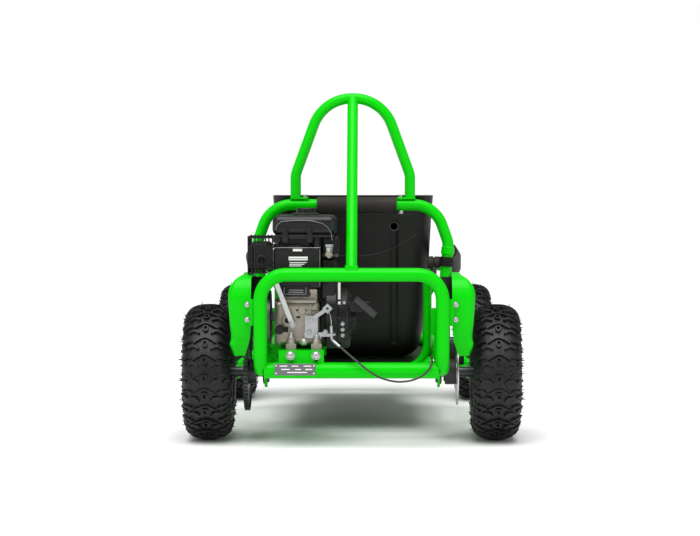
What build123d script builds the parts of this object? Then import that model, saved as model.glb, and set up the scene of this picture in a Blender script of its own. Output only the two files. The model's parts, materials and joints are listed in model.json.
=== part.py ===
from build123d import *
from math import atan2, cos, pi, sin, tan
import os

os.makedirs("parts", exist_ok=True)

# Frame: +Y is the driving direction, +X the driver's right, +Z up; the ground is Z = 0.
# All sizes are in millimetres.

# Wheels and axles
wheelbase = 930
tyre_radius = 165
rear_axle_y = -452
front_axle_y = rear_axle_y + wheelbase
axle_z = tyre_radius
rear_wheel_x = 348
front_wheel_x = 338
rear_tyre_width = 120
front_tyre_width = 106
rim_radius = 74
axle_radius = 12.5

# Frame tubes
tube_wall = 2
loop_y = rear_axle_y - 200
hoop_y = rear_axle_y + 120
rail_x = 213
rail_z = 190
rail_d = 32
nose_x = 150
cross_end_y = front_axle_y + 60
bumper_y = -loop_y + 3
cross_y, cross_z, cross_d = loop_y + 20, 185, 38

# Engine
crank_y, crank_z = -490, 302
bed_z = 232
chain_x = 255
chain_pitch = 9.525
sprocket_teeth = 60
pinion_teeth = 12

# Steering
kingpin_x = 262
pillar_top = Vector(0, 205, 455)
pillar_end = Vector(0, 442.3, 271.4)

left_right = (-1, 1)

# Each tube is its corner points, the bend radius at each corner, and its diameter.
loop_tube = (
    [(rail_x, loop_y + 62, 186), (rail_x, loop_y, 186), (rail_x, loop_y, 411),
     (-rail_x, loop_y, 411), (-rail_x, loop_y, 186), (-rail_x, loop_y + 62, 186)],
    [45, 60, 60, 45], rail_d)
hoop_tube = (
    [(rail_x, hoop_y, rail_z), (238, hoop_y, 475), (204, hoop_y, 570),
     (-204, hoop_y, 570), (-238, hoop_y, 475), (-rail_x, hoop_y, rail_z)],
    [60, 75, 75, 60], 28)
arch_tube = (
    [(142, hoop_y, 586), (142, hoop_y, 645), (72.5, hoop_y, 834),
     (-72.5, hoop_y, 834), (-142, hoop_y, 645), (-142, hoop_y, 586)],
    [60, 100, 100, 60], 26)
strut_tube = ([(0, hoop_y, 834), (0, loop_y, 411)], [], 26)
front_hoop_tube = (
    [(nose_x, cross_end_y, rail_z), (222, 548, 320), (222, 548, 400),
     (-222, 548, 400), (-222, 548, 320), (-nose_x, cross_end_y, rail_z)],
    [60, 60, 60, 60], 26)


def rail_tube(side):
    """The lower rail of one side, which rises over the rear axle."""
    points = [(rail_x, loop_y + 62, 186), (rail_x, -560, 186), (rail_x, -500, 212),
              (rail_x, -400, 212), (rail_x, -345, rail_z), (rail_x, 180, rail_z),
              (nose_x, 300, rail_z), (nose_x, cross_end_y, rail_z)]
    return [(side * x, y, z) for x, y, z in points], [60, 60, 60, 60, 100, 100], rail_d


def side_tube(side):
    """The guard bar beside the driver, from the main hoop to the front hoop."""
    points = [(236, hoop_y, 462), (255, -200, 436), (268, 100, 392),
              (262, 400, 384), (222, 548, 380)]
    return [(side * x, y, z) for x, y, z in points], [80, 80, 80], 26


def sill_tube(side):
    """The low bar between the wheels of one side."""
    points = [(rail_x, -210, rail_z), (318, -210, 123), (318, 200, 123), (rail_x, 200, rail_z)]
    return [(side * x, y, z) for x, y, z in points], [50, 50], 24


def sweep_round(points, radii, diameter, mode=Mode.ADD):
    """Sweep a round section along a bent path, into the part being built."""
    with BuildLine() as path:
        if radii:
            FilletPolyline(*points, radius=radii)
        else:
            Line(*points)
    with BuildSketch(Plane(origin=path.line @ 0, z_dir=path.line % 0)) as section:
        Circle(diameter / 2)
    sweep(sections=section.sketch, path=path.line, mode=mode)


def hollow(tubes):
    """Join tubes into one welded piece and bore each one through."""
    for points, radii, diameter in tubes:
        sweep_round(points, radii, diameter)
    for points, radii, diameter in tubes:
        sweep_round(points, radii, diameter - 2 * tube_wall, Mode.SUBTRACT)


def cut(tubes):
    """Shape the part being built around tubes that belong to other pieces."""
    for points, radii, diameter in tubes:
        sweep_round(points, radii, diameter, Mode.SUBTRACT)


def plane_at(origin, normal, x_dir=None):
    """A plane through a point, facing along a direction."""
    return Plane(origin=origin, z_dir=normal, x_dir=x_dir)


def rod(origin, normal, radius, length, mode=Mode.ADD):
    """A round bar from a point along a direction."""
    with BuildSketch(plane_at(origin, normal)) as section:
        Circle(radius)
    extrude(section.sketch, amount=length, mode=mode)


def slab(low, high, mode=Mode.ADD, round_by=0):
    """A block between two corners, with its edges rounded where asked."""
    low, high = Vector(low), Vector(high)
    size = high - low
    with BuildPart(mode=Mode.PRIVATE) as block:
        with BuildSketch(Plane(origin=low)):
            Rectangle(size.X, size.Y, align=(Align.MIN, Align.MIN))
        extrude(amount=size.Z)
        if round_by:
            fillet(block.edges(), radius=round_by)
    add(block.part, mode=mode)


def side_slab(side, low, high, mode=Mode.ADD, round_by=0):
    """A block given for the right side, mirrored to the side asked for."""
    if side < 0:
        low, high = (-high[0], low[1], low[2]), (-low[0], high[1], high[2])
    slab(low, high, mode, round_by)


def bolt(seat, normal, radius, length, head_radius, head_height, hexagonal=True):
    """A bolt whose head stands on a seat and whose shank runs the other way."""
    back = Vector(*normal) * -1
    rod(seat, back, radius, length)
    with BuildSketch(plane_at(seat, normal)) as head:
        if hexagonal:
            RegularPolygon(head_radius, 6)
        else:
            Circle(head_radius)
    extrude(head.sketch, amount=head_height)


def write(built, name):
    """Label one finished piece and write it out."""
    built.part.label = name
    export_step(built.part, f"parts/{name}.step")


# Frame

drop_z = 158
rails = [rail_tube(side) for side in left_right]
cross_tube = ([(-205, cross_y, cross_z), (205, cross_y, cross_z)], [], cross_d)
# The beam below the main hoop drops between the rails, and a short arm holds the engine bracket.
beam_tubes = [
    ([(-rail_x, -405, 214), (-75, -405, 214)], [], 28),
    ([(-rail_x, hoop_y, rail_z), (-170, hoop_y, drop_z), (170, hoop_y, drop_z), (rail_x, hoop_y, rail_z)],
     [30, 30], 28),
    ([(-nose_x, cross_end_y, rail_z), (nose_x, cross_end_y, rail_z)], [], 28),
    ([(-240, front_axle_y, rail_z), (240, front_axle_y, rail_z)], [], 30),
]
hanger_r, hanger_top = 38, 205
pedal_x, pedal_y, pedal_z = 90, 520, 226
pan_bottom = rail_z - rail_d / 2 - 2

# A U-shaped tube stands behind the seat, and an arched stay carries the steering bush.
support_tube = ([(-187, -283, 380), (-187, -283, drop_z), (187, -283, drop_z), (187, -283, 380)],
                [60, 60], 22)
bush_at = pillar_top + (pillar_end - pillar_top) * 0.72
pillar_dir = (pillar_end - pillar_top).normalized()
pillar_up = Vector(0, -pillar_dir.Z, pillar_dir.Y)
stay_at = bush_at - pillar_up * 24
stay_tube = ([(nose_x, stay_at.Y, rail_z), (60, stay_at.Y, stay_at.Z),
              (-60, stay_at.Y, stay_at.Z), (-nose_x, stay_at.Y, rail_z)], [50, 50], 22)

with BuildPart() as lower_frame:
    rod(bush_at - pillar_dir * 16, pillar_dir, 16, 32)
    hollow(rails + beam_tubes + [support_tube, stay_tube])
    rod(bush_at - pillar_dir * 20, pillar_dir, 8.05, 40, Mode.SUBTRACT)
    for side in left_right:
        # Hanger plates carry the rear bearings below the raised part of the rails.
        hanger_plane = plane_at((side * 210, rear_axle_y, axle_z), (1, 0, 0), (0, 1, 0))
        with BuildSketch(hanger_plane) as hanger:
            with Locations((0, (hanger_top - axle_z) / 2)):
                Rectangle(2 * hanger_r, hanger_top - axle_z)
            Circle(hanger_r)
            Circle(26, mode=Mode.SUBTRACT)
        extrude(hanger.sketch, amount=3, both=True)
        # Yokes at the ends of the front beam hold the kingpins.
        side_slab(side, (238, front_axle_y - 12, 126), (244, front_axle_y + 12, 204))
        for low in (126, 198):
            side_slab(side, (238, front_axle_y - 12, low), (274, front_axle_y + 12, low + 6))
            rod((side * kingpin_x, front_axle_y, low), (0, 0, 1), 6.05, 6, Mode.SUBTRACT)
        # Ears on the front crossmember hold the pedal pins.
        for ear_gap in (-19, 15):
            ear_x = side * pedal_x + ear_gap
            slab((ear_x, pedal_y - 9, 200), (ear_x + 4, cross_end_y, pedal_z + 9))
        rod((side * pedal_x - 25, pedal_y, pedal_z), (1, 0, 0), 5.05, 50, Mode.SUBTRACT)
        # Gussets tie the seat tube to the main hoop.
        side_slab(side, (194, -330, 246), (214, -283, 310))
    cut([loop_tube, hoop_tube])
write(lower_frame, "lower_frame")

with BuildPart() as rear_loop:
    hollow([loop_tube, cross_tube])
write(rear_loop, "rear_loop")

arch_bolt_x, arch_bolt_top = 119, 589
with BuildPart() as main_hoop:
    hollow([hoop_tube])
    for side in left_right:
        rod((side * arch_bolt_x, hoop_y, 540), (0, 0, 1), 4, 60, Mode.SUBTRACT)
write(main_hoop, "main_hoop")

with BuildPart() as roll_arch:
    hollow([arch_tube, strut_tube])
    for side in left_right:
        side_slab(side, (110, hoop_y - 13, 584), (155, hoop_y + 13, arch_bolt_top))
        rod((side * arch_bolt_x, hoop_y, 580), (0, 0, 1), 4, 20, Mode.SUBTRACT)
    slab((-15, loop_y - 12, 420), (15, loop_y + 22, 432))
    cut([loop_tube, hoop_tube])
write(roll_arch, "roll_arch")

with BuildPart() as side_bars:
    hollow([side_tube(side) for side in left_right])
    cut([hoop_tube, front_hoop_tube])
write(side_bars, "side_bars")

with BuildPart() as sill_bars:
    hollow([sill_tube(side) for side in left_right])
    cut(rails)
write(sill_bars, "sill_bars")

with BuildPart() as front_hoop:
    hollow([front_hoop_tube])
    cut(rails + [beam_tubes[2]])
write(front_hoop, "front_hoop")

ring_corners = [(-190, bumper_y, 180), (190, bumper_y, 180), (190, bumper_y, 305),
                (-190, bumper_y, 305)]
with BuildPart() as front_bumper:
    with BuildLine() as ring:
        FilletPolyline(*ring_corners, radius=45, close=True)
    with BuildSketch(Plane(origin=ring.line @ 0, z_dir=ring.line % 0)) as ring_section:
        Circle(13)
        Circle(13 - tube_wall, mode=Mode.SUBTRACT)
    sweep(sections=ring_section.sketch, path=ring.line)
    for side in left_right:
        side_slab(side, (130, cross_end_y + 14, 186), (160, bumper_y - 12, 194))
write(front_bumper, "front_bumper")

pan_rear, pan_front, pan_x, pan_nose_x = -268, 545, 205, nose_x + 8
with BuildPart() as floor_pan:
    with BuildSketch(Plane.XY.offset(pan_bottom)):
        with BuildLine():
            FilletPolyline((-pan_x, pan_rear), (pan_x, pan_rear), (pan_x, 190), (pan_nose_x, 290),
                           (pan_nose_x, pan_front), (-pan_nose_x, pan_front), (-pan_nose_x, 290),
                           (-pan_x, 190), radius=6, close=True)
        make_face()
    extrude(amount=2)
write(floor_pan, "floor_pan")

# Soft covers on the tubes

with BuildPart() as hoop_pad:
    rod((-89, hoop_y, 570), (1, 0, 0), 20, 198)
    rod((-89, hoop_y, 570), (1, 0, 0), 14, 198, Mode.SUBTRACT)
write(hoop_pad, "hoop_pad")

with BuildPart() as side_pads:
    for side in left_right:
        rear_end, bend, front_end = (Vector(*point) for point in side_tube(side)[0][:3])
        pad_run = [rear_end + (bend - rear_end) * 0.3, bend, bend + (front_end - bend) * 0.9]
        sweep_round(pad_run, [80], 40)
        sweep_round(pad_run, [80], 26.2, Mode.SUBTRACT)
write(side_pads, "side_pads")

hoop_leg = (Vector(25, 0, 285)).normalized()


def leg_point(z):
    """The middle of the right hoop leg at a height."""
    return Vector(rail_x + 25 * (z - rail_z) / 285, hoop_y, z)


strap_low, strap_length = 416, 20
with BuildPart() as hoop_straps:
    for side in left_right:
        low = leg_point(strap_low)
        up = Vector(side * hoop_leg.X, 0, hoop_leg.Z)
        rod((side * low.X, low.Y, low.Z), up, 17.5, strap_length)
        rod((side * low.X, low.Y, low.Z), up, 14, strap_length, Mode.SUBTRACT)
write(hoop_straps, "hoop_straps")

# Seat

with BuildPart() as seat_shell:
    for inset, mode in ((0, Mode.ADD), (5, Mode.SUBTRACT)):
        with BuildSketch(Plane.YZ.offset(-210)) as side_view:
            with BuildLine():
                FilletPolyline(
                    (-312 + inset, 593 + 9 * inset), (-240 + inset, 250), (-185, pan_bottom + 5 + inset),
                    (60, 190 + inset), (110 + 9 * inset, 230), (110 + 9 * inset, 262 + 9 * inset),
                    (-60, 330 + 9 * inset), (-190, 480 + 9 * inset), (-262, 593 + 9 * inset),
                    radius=14, close=True)
            make_face()
        with BuildSketch(Plane.XZ.offset(400)) as rear_view:
            with BuildLine():
                FilletPolyline(
                    (-201 + inset, 593 + 9 * inset), (-193 + inset, 430), (-170 + inset, 172 + inset),
                    (170 - inset, 172 + inset), (193 - inset, 430), (201 - inset, 593 + 9 * inset),
                    radius=[12, 60, 60, 12])
                Line((201 - inset, 593 + 9 * inset), (-201 + inset, 593 + 9 * inset))
            make_face()
        across = extrude(side_view.sketch, amount=420, mode=Mode.PRIVATE)
        along = extrude(rear_view.sketch, amount=-800, mode=Mode.PRIVATE)
        add(across & along, mode=mode)
write(seat_shell, "seat_shell")

# Rear guards beside the tyres

guard_low_x, guard_high_x = 239, 284
guard_profile = [(-598, 213), (-626, 262), (-630, 366), (-596, 404), (-470, 404), (-400, 372)]
guard_bolt_z = (305, 340)


def build_guard(side):
    """A folded guard strip with an inner lip, on a tab from the rear loop."""
    with BuildPart() as guard:
        with BuildSketch(Plane.YZ.offset(guard_low_x)) as strip:
            with BuildLine() as edge:
                FilletPolyline(*guard_profile, radius=[10, 24, 24, 40])
            trace(edge.line, line_width=2.5)
        extrude(strip.sketch, amount=guard_high_x - guard_low_x)
        slab((guard_low_x, -628, 288), (guard_low_x + 3, -560, 356))
        slab((rail_x + 14, -640, 290), (guard_low_x, -637, 354))
        slab((guard_low_x - 2, -640, 290), (guard_low_x, -600, 354))
        for z in guard_bolt_z:
            rod((guard_low_x - 20, -615, z), (1, 0, 0), 3, 40, Mode.SUBTRACT)
        cut([loop_tube])
    if side < 0:
        with BuildPart() as left_guard:
            add(mirror(guard.part, about=Plane.YZ, mode=Mode.PRIVATE))
        return left_guard
    return guard


mudguard_right = build_guard(1)
write(mudguard_right, "mudguard_right")
mudguard_left = build_guard(-1)
write(mudguard_left, "mudguard_left")

# Rear axle

bearing_x = 210
disc_radius = 80.5
chain_radius = chain_pitch / (2 * sin(pi / sprocket_teeth))


def on_axle(x):
    """A point on the rear axle."""
    return (x, rear_axle_y, axle_z)


with BuildPart() as rear_axle_shaft:
    rod(on_axle(-386), (1, 0, 0), axle_radius, 772)
    for side in left_right:
        rod(on_axle(side * 372), (side, 0, 0), 17, 12)
    chamfer(rear_axle_shaft.edges().filter_by(GeomType.CIRCLE).sort_by(Axis.X)[0], 1.5)
write(rear_axle_shaft, "rear_axle_shaft")

with BuildPart() as axle_bearings:
    for side in left_right:
        rod(on_axle(side * bearing_x - 7.5), (1, 0, 0), 26, 15)
        rod(on_axle(side * (bearing_x + 3)), (side, 0, 0), 30, 3.5)
        rod(on_axle(side * bearing_x - 8), (1, 0, 0), axle_radius + 0.05, 16, Mode.SUBTRACT)
        rod(on_axle(side * (bearing_x + 6)), (side, 0, 0), axle_radius + 0.05, 4, Mode.SUBTRACT)
write(axle_bearings, "axle_bearings")


def toothed_disc(centre, teeth, pitch, thickness):
    """A chain wheel: a round blank with one roller seat cut between each pair of teeth."""
    pitch_radius = pitch / (2 * sin(pi / teeth))
    with BuildSketch(plane_at(centre, (1, 0, 0), (0, 1, 0))) as wheel:
        Circle(pitch_radius + 3.2)
        with PolarLocations(pitch_radius, teeth):
            Circle(2.6, mode=Mode.SUBTRACT)
        with PolarLocations(pitch_radius + 3.4, teeth):
            Rectangle(7.2, 3.4, mode=Mode.SUBTRACT)
    extrude(wheel.sketch, amount=thickness / 2, both=True)


with BuildPart() as sprocket:
    toothed_disc(on_axle(-chain_x), sprocket_teeth, chain_pitch, 4.2)
    rod(on_axle(-chain_x + 2.1), (1, 0, 0), 30, 20)
    with BuildSketch(plane_at(on_axle(-chain_x - 5), (1, 0, 0), (0, 1, 0))) as windows:
        with PolarLocations(62, 6):
            Circle(14)
        with PolarLocations(22, 4):
            Circle(3)
    extrude(windows.sketch, amount=10, mode=Mode.SUBTRACT)
    rod(on_axle(-chain_x - 5), (1, 0, 0), axle_radius, 40, Mode.SUBTRACT)
write(sprocket, "sprocket")

with BuildPart() as brake_disc:
    rod(on_axle(chain_x - 1.5), (1, 0, 0), disc_radius, 3)
    rod(on_axle(chain_x - 1.5), (-1, 0, 0), 30, 22)
    with BuildSketch(plane_at(on_axle(chain_x - 5), (1, 0, 0), (0, 1, 0))) as vents:
        with PolarLocations(64, 18):
            Circle(3.5)
        with PolarLocations(42, 6):
            Circle(8)
    extrude(vents.sketch, amount=10, mode=Mode.SUBTRACT)
    rod(on_axle(chain_x + 5), (-1, 0, 0), axle_radius, 40, Mode.SUBTRACT)
write(brake_disc, "brake_disc")

with BuildPart() as brake_caliper:
    side_slab(1, (238, -420, 178), (274, -352, 236), round_by=5)
    slab((chain_x - 2.6, -440, 165), (chain_x + 2.6, -356, 240), Mode.SUBTRACT)
    side_slab(1, (214, -404, 196), (240, -380, 214))
    rod((206, -392, 205), (1, 0, 0), 6, 34)
    cut([rail_tube(1)])
write(brake_caliper, "brake_caliper")

# Wheels


def revolve_about(centre, sketch, mode=Mode.ADD):
    """Turn a section about the wheel axis through a point."""
    revolve(sketch, axis=Axis(centre, (1, 0, 0)), mode=mode)


def build_tyre(centre, width):
    """A hollow tyre with a rounded tread, open at the beads."""
    half = width / 2
    bead, shoulder = rim_radius, tyre_radius - 15
    with BuildSketch(Plane(origin=centre)) as section:
        with BuildLine():
            Line((-half + 12, bead), (-half + 12, bead + 9))
            ThreePointArc((-half + 12, bead + 9), (-half, bead + 46), (-half + 4, shoulder))
            ThreePointArc((-half + 4, shoulder), (-half + 9, shoulder + 8), (-half + 18, shoulder + 12))
            ThreePointArc((-half + 18, shoulder + 12), (0, tyre_radius), (half - 18, shoulder + 12))
            ThreePointArc((half - 18, shoulder + 12), (half - 9, shoulder + 8), (half - 4, shoulder))
            ThreePointArc((half - 4, shoulder), (half, bead + 46), (half - 12, bead + 9))
            Polyline((half - 12, bead + 9), (half - 12, bead), (half - 19, bead))
            ThreePointArc((half - 19, bead), (half - 9, bead + 40), (half - 14, shoulder - 4))
            ThreePointArc((half - 14, shoulder - 4), (0, tyre_radius - 9), (-half + 14, shoulder - 4))
            ThreePointArc((-half + 14, shoulder - 4), (-half + 9, bead + 40), (-half + 19, bead))
            Line((-half + 19, bead), (-half + 12, bead))
        make_face()
    revolve_about(centre, section.sketch)


def build_rim(centre, width, outward, bore_radius, hub_in, hub_out):
    """A pressed rim: barrel, flanges, dished centre disc and hub."""
    half = width / 2
    with BuildSketch(Plane(origin=centre)) as section:
        with BuildLine():
            Polyline((-half + 8, rim_radius + 8), (-half + 12, rim_radius + 8), (-half + 12, rim_radius),
                     (half - 12, rim_radius), (half - 12, rim_radius + 8), (half - 8, rim_radius + 8),
                     (half - 8, rim_radius - 3), (-half + 8, rim_radius - 3), close=True)
        make_face()
        with Locations((outward * 12, (rim_radius - 3 + 20) / 2)):
            Rectangle(4, rim_radius - 3 - 20)
        with Locations((outward * (hub_in + hub_out) / 2, (bore_radius + 24) / 2)):
            Rectangle(hub_out - hub_in, 24 - bore_radius)
    revolve_about(centre, section.sketch)
    with BuildSketch(plane_at(centre + Vector(outward * 5, 0, 0), (outward, 0, 0), (0, 1, 0))) as windows:
        with PolarLocations(48, 6):
            Circle(11)
    extrude(windows.sketch, amount=16, mode=Mode.SUBTRACT)


with BuildPart() as rear_tyres:
    for side in left_right:
        build_tyre(Vector(*on_axle(side * rear_wheel_x)), rear_tyre_width)
write(rear_tyres, "rear_tyres")

with BuildPart() as rear_rims:
    for side in left_right:
        build_rim(Vector(*on_axle(side * rear_wheel_x)), rear_tyre_width, side, axle_radius, -38, 24)
write(rear_rims, "rear_rims")

side_names = {-1: "left", 1: "right"}
for side, side_name in side_names.items():
    wheel_centre = Vector(side * front_wheel_x, front_axle_y, axle_z)
    with BuildPart() as front_tyre:
        build_tyre(wheel_centre, front_tyre_width)
    write(front_tyre, f"front_tyre_{side_name}")

    with BuildPart() as front_rim:
        build_rim(wheel_centre, front_tyre_width, side, 8.05, -36, 20)
    write(front_rim, f"front_rim_{side_name}")

    # Steering knuckle: barrel on the kingpin, stub axle and steering arm.
    with BuildPart() as knuckle:
        rod((side * kingpin_x, front_axle_y, 132.3), (0, 0, 1), 12, 65.4)
        rod((side * kingpin_x, front_axle_y, 124), (0, 0, 1), 6, 82)
        rod((side * kingpin_x, front_axle_y, 118), (0, 0, 1), 10, 7)
        rod((side * (kingpin_x + 6), front_axle_y, axle_z), (side, 0, 0), 12, 32)
        rod((side * (kingpin_x + 6), front_axle_y, axle_z), (side, 0, 0), 8, 98)
        rod((side * (front_wheel_x + 20.5), front_axle_y, axle_z), (side, 0, 0), 13, 8)
        arm_end = Vector(side * 247, front_axle_y - 70, 205)
        with BuildSketch(Plane.XY.offset(arm_end.Z)):
            with BuildLine() as arm_line:
                Line((side * kingpin_x, front_axle_y), (arm_end.X, arm_end.Y))
            trace(arm_line.line, line_width=15)
            with Locations((arm_end.X, arm_end.Y)):
                Circle(9)
            with Locations((side * kingpin_x, front_axle_y)):
                Circle(12)
        extrude(amount=6)
        rod(arm_end - Vector(0, 0, 2), (0, 0, 1), 4.05, 10, Mode.SUBTRACT)
    write(knuckle, f"knuckle_{side_name}")

    # Tie rod: it turns on a pin through the knuckle's arm.
    with BuildPart() as tie_rod:
        rod(arm_end + Vector(0, 0, 6.5), (0, 0, 1), 10.5, 10)
        rod(arm_end - Vector(0, 0, 6), (0, 0, 1), 4, 14)
        rod(arm_end - Vector(0, 0, 7), (0, 0, 1), 7, 6.5)
        outer_end = arm_end + Vector(-side * 2, 0, 11.5)
        inner_end = Vector(side * 15, arm_end.Y - 4, outer_end.Z)
        rod(outer_end, inner_end - outer_end, 5, (inner_end - outer_end).length)
        rod(inner_end - Vector(0, 0, 7), (0, 0, 1), 10, 14)
    write(tie_rod, f"tie_rod_{side_name}")

# Steering

wheel_plane = Plane(origin=pillar_top, z_dir=pillar_dir, x_dir=(1, 0, 0))
with BuildPart() as steering_wheel:
    with BuildSketch(Plane(origin=pillar_top, x_dir=(1, 0, 0), z_dir=-wheel_plane.y_dir)) as grip:
        with Locations((125, 0)):
            Circle(12)
    revolve(grip.sketch, axis=Axis(pillar_top, pillar_dir))
    with BuildSketch(wheel_plane) as spokes:
        Circle(34)
        for angle in (90, 210, 330):
            with Locations((62 * cos(angle * pi / 180), -62 * sin(angle * pi / 180))):
                Rectangle(110, 22, rotation=-angle)
    extrude(spokes.sketch, amount=2, both=True)
    rod(pillar_top - pillar_dir * 10, pillar_dir, 24, 26)
    rod(pillar_top + pillar_dir * 4, pillar_dir, 8, 20, Mode.SUBTRACT)
write(steering_wheel, "steering_wheel")

with BuildPart() as steering_pillar:
    rod(pillar_top + pillar_dir * 4, pillar_dir, 8, (pillar_end - pillar_top).length - 4)
    for step in (-19, 19):
        rod(bush_at + pillar_dir * (step - 2.5), pillar_dir, 12, 5)
    pitman_plane = Plane(origin=pillar_end, z_dir=pillar_dir, x_dir=(1, 0, 0))
    with BuildSketch(pitman_plane) as pitman:
        Circle(14)
        with Locations(pitman_plane.to_local_coords(pillar_end - pillar_up * 26)):
            Rectangle(26, 52)
        with Locations(pitman_plane.to_local_coords(pillar_end - pillar_up * 44)):
            Rectangle(46, 18)
            with GridLocations(30, 1, 2, 1):
                Circle(4, mode=Mode.SUBTRACT)
    extrude(pitman.sketch, amount=-6)
write(steering_pillar, "steering_pillar")

# Pedals

for side, pedal_name in ((1, "throttle_pedal"), (-1, "brake_pedal")):
    pivot = Vector(side * pedal_x, pedal_y, pedal_z)
    with BuildPart() as pedal:
        rod(pivot - Vector(14, 0, 0), (1, 0, 0), 10, 28)
        rod(pivot - Vector(22, 0, 0), (1, 0, 0), 5, 44)
        sweep_round([pivot, pivot + Vector(0, -22, 50), pivot + Vector(0, -26, 104)], [40], 12)
        slab(pivot + Vector(-28, -34, 62), pivot + Vector(28, -28, 128), round_by=2)
    write(pedal, pedal_name)

# Engine bracket and engine, with the crankshaft across the frame

mount_low_x, mount_high_x = -171, -65
mount_bolt_x = (-143, -83)
foot_y = (-604, -376)
with BuildPart() as engine_mount:
    slab((mount_low_x, cross_y - 4, 196), (mount_high_x, cross_y, bed_z))
    slab((mount_low_x, cross_y - 4, bed_z - 4), (mount_high_x, -362, bed_z))
    slab((mount_low_x, -395, 200), (mount_high_x, -391, bed_z))
    for x in mount_bolt_x:
        with BuildSketch(plane_at((x, cross_y - 10, 217), (0, 1, 0), (0, 0, 1))) as slot:
            SlotOverall(24, 10)
        extrude(slot.sketch, amount=14, mode=Mode.SUBTRACT)
        for y in foot_y:
            rod((x, y, bed_z - 6), (0, 0, 1), 4, 8, Mode.SUBTRACT)
    cut([cross_tube, beam_tubes[0]])
write(engine_mount, "engine_mount")

with BuildPart() as engine_bolts:
    for x in mount_bolt_x:
        with BuildSketch(plane_at((x, cross_y - 12, 221), (0, 1, 0))) as heads:
            RegularPolygon(9, 6)
        extrude(heads.sketch, amount=8)
        rod((x, cross_y - 5.5, 221), (0, 1, 0), 4.9, 20)
        rod((x, cross_y, 221), (0, 1, 0), 6.8, 6)
        for y in foot_y:
            bolt((x, y, bed_z + 14), (0, 0, 1), 4, 22, 7.5, 5)
write(engine_bolts, "engine_bolts")

crank_low_x, crank_high_x = -182, -77
with BuildPart() as crankcase:
    slab((crank_low_x, -592, 240), (crank_high_x, -388, 345), round_by=12)
    slab((crank_low_x + 8, -584, 330), (crank_high_x - 4, -400, 376), round_by=6)
    rod((crank_low_x + 8, crank_y, crank_z), (-1, 0, 0), 44, 12)
    for x in mount_bolt_x:
        for y in foot_y:
            slab((x - 12, y - 11, bed_z), (x + 12, y + 11, bed_z + 14))
            slab((x - 12, min(y, y * 0.5 - 245), bed_z), (x + 12, max(y, y * 0.5 - 245), bed_z + 10))
            rod((x, y, bed_z - 2), (0, 0, 1), 4, 24, Mode.SUBTRACT)
    rod((crank_low_x - 20, crank_y, crank_z), (1, 0, 0), 10.05, 60, Mode.SUBTRACT)
write(crankcase, "crankcase")

oil_at = (crank_low_x + 12, -592, 279)
with BuildPart() as oil_cap:
    rod(oil_at, (0, -1, 0), 11, 14)
    rod((oil_at[0], oil_at[1] - 14, oil_at[2]), (0, -1, 0), 7, 6)
write(oil_cap, "oil_cap")

head_low, head_high = 376, 471
with BuildPart() as cylinder:
    for fin in range(7):
        fin_z = head_low + 9 * fin + 3
        slab((crank_low_x + 12, -560, fin_z), (crank_high_x - 8, -420, fin_z + 3))
    rod((-130, crank_y, head_low), (0, 0, 1), 40, 70)
write(cylinder, "cylinder")

with BuildPart() as cylinder_shroud:
    slab((crank_low_x - 3, -592, head_low), (crank_high_x + 2, -396, head_high), round_by=5)
    slab((crank_low_x, -589, head_low - 10), (crank_high_x - 1, -399, head_high - 3), Mode.SUBTRACT)
write(cylinder_shroud, "cylinder_shroud")

with BuildPart() as spark_plug:
    rod((-130, -396, 430), (0, 1, 0), 9, 12)
    rod((-130, -384, 430), (0, 1, 0), 12, 30)
    rod((-130, -366, 422), (0, 0, -1), 4, 30)
write(spark_plug, "spark_plug")

blower_low_x, blower_high_x = -75, -34
with BuildPart() as blower_housing:
    rod((mount_high_x + 1, crank_y, crank_z + 8), (1, 0, 0), 84, blower_high_x - mount_high_x - 1)
    fillet(blower_housing.edges().filter_by(GeomType.CIRCLE), radius=4)
    slab((blower_low_x, -560, 345), (blower_high_x - 3, -420, 444), round_by=8)
write(blower_housing, "blower_housing")

rope_at = Vector(32, -568, 330)
with BuildPart() as recoil_housing:
    rod((blower_high_x, crank_y, crank_z), (1, 0, 0), 75, 30)
    fillet(recoil_housing.edges().filter_by(GeomType.CIRCLE).sort_by(Axis.X)[-1], radius=10)
    rod((-4, crank_y, crank_z), (1, 0, 0), 30, 14)
    slab((-24, -556, rope_at.Z - 12), (rope_at.X + 12, -528, rope_at.Z + 12), round_by=3)
    rod(rope_at - Vector(0, 5, 0), (0, 1, 0), 3.5, 20, Mode.SUBTRACT)
write(recoil_housing, "recoil_housing")

handle_tilt = Vector(cos(-40 * pi / 180), 0, sin(-40 * pi / 180))
with BuildPart() as starter_handle:
    grip_at = rope_at - Vector(0, 8, 0)
    rod(grip_at - handle_tilt * 32, handle_tilt, 8.5, 64)
    rod(grip_at, (0, 1, 0), 5, 18)
    fillet(starter_handle.edges().filter_by(GeomType.CIRCLE).sort_by(Axis.X)[-1], radius=3)
write(starter_handle, "starter_handle")

tank_low, tank_high = 500, 548
with BuildPart() as fuel_tank:
    slab((-188, -592, tank_low), (-36, -392, tank_high), round_by=16)
    for y in (-560, -420):
        slab((-160, y - 8, head_high), (-100, y + 8, tank_low + 2))
    rod((-110, -490, tank_high - 4), (0, 0, 1), 19, 8)
write(fuel_tank, "fuel_tank")

with BuildPart() as fuel_cap:
    rod((-110, -490, tank_high + 4.3), (0, 0, 1), 25, 12)
    fillet(fuel_cap.edges().filter_by(GeomType.CIRCLE).sort_by(Axis.Z)[-1], radius=3)
write(fuel_cap, "fuel_cap")

with BuildPart() as air_filter:
    slab((-72, -572, 456), (-30, -440, 498), round_by=7)
write(air_filter, "air_filter")

with BuildPart() as carburettor:
    slab((-70, -480, 446), (-34, -436, 456))
    rod((-54, -586, 474), (0, 0, -1), 8, 22)
    slab((-62, -594, 452), (-46, -578, 460))
    rod((-54, -580, 466), (0, 1, 0), 4, 8)
write(carburettor, "carburettor")

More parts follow.
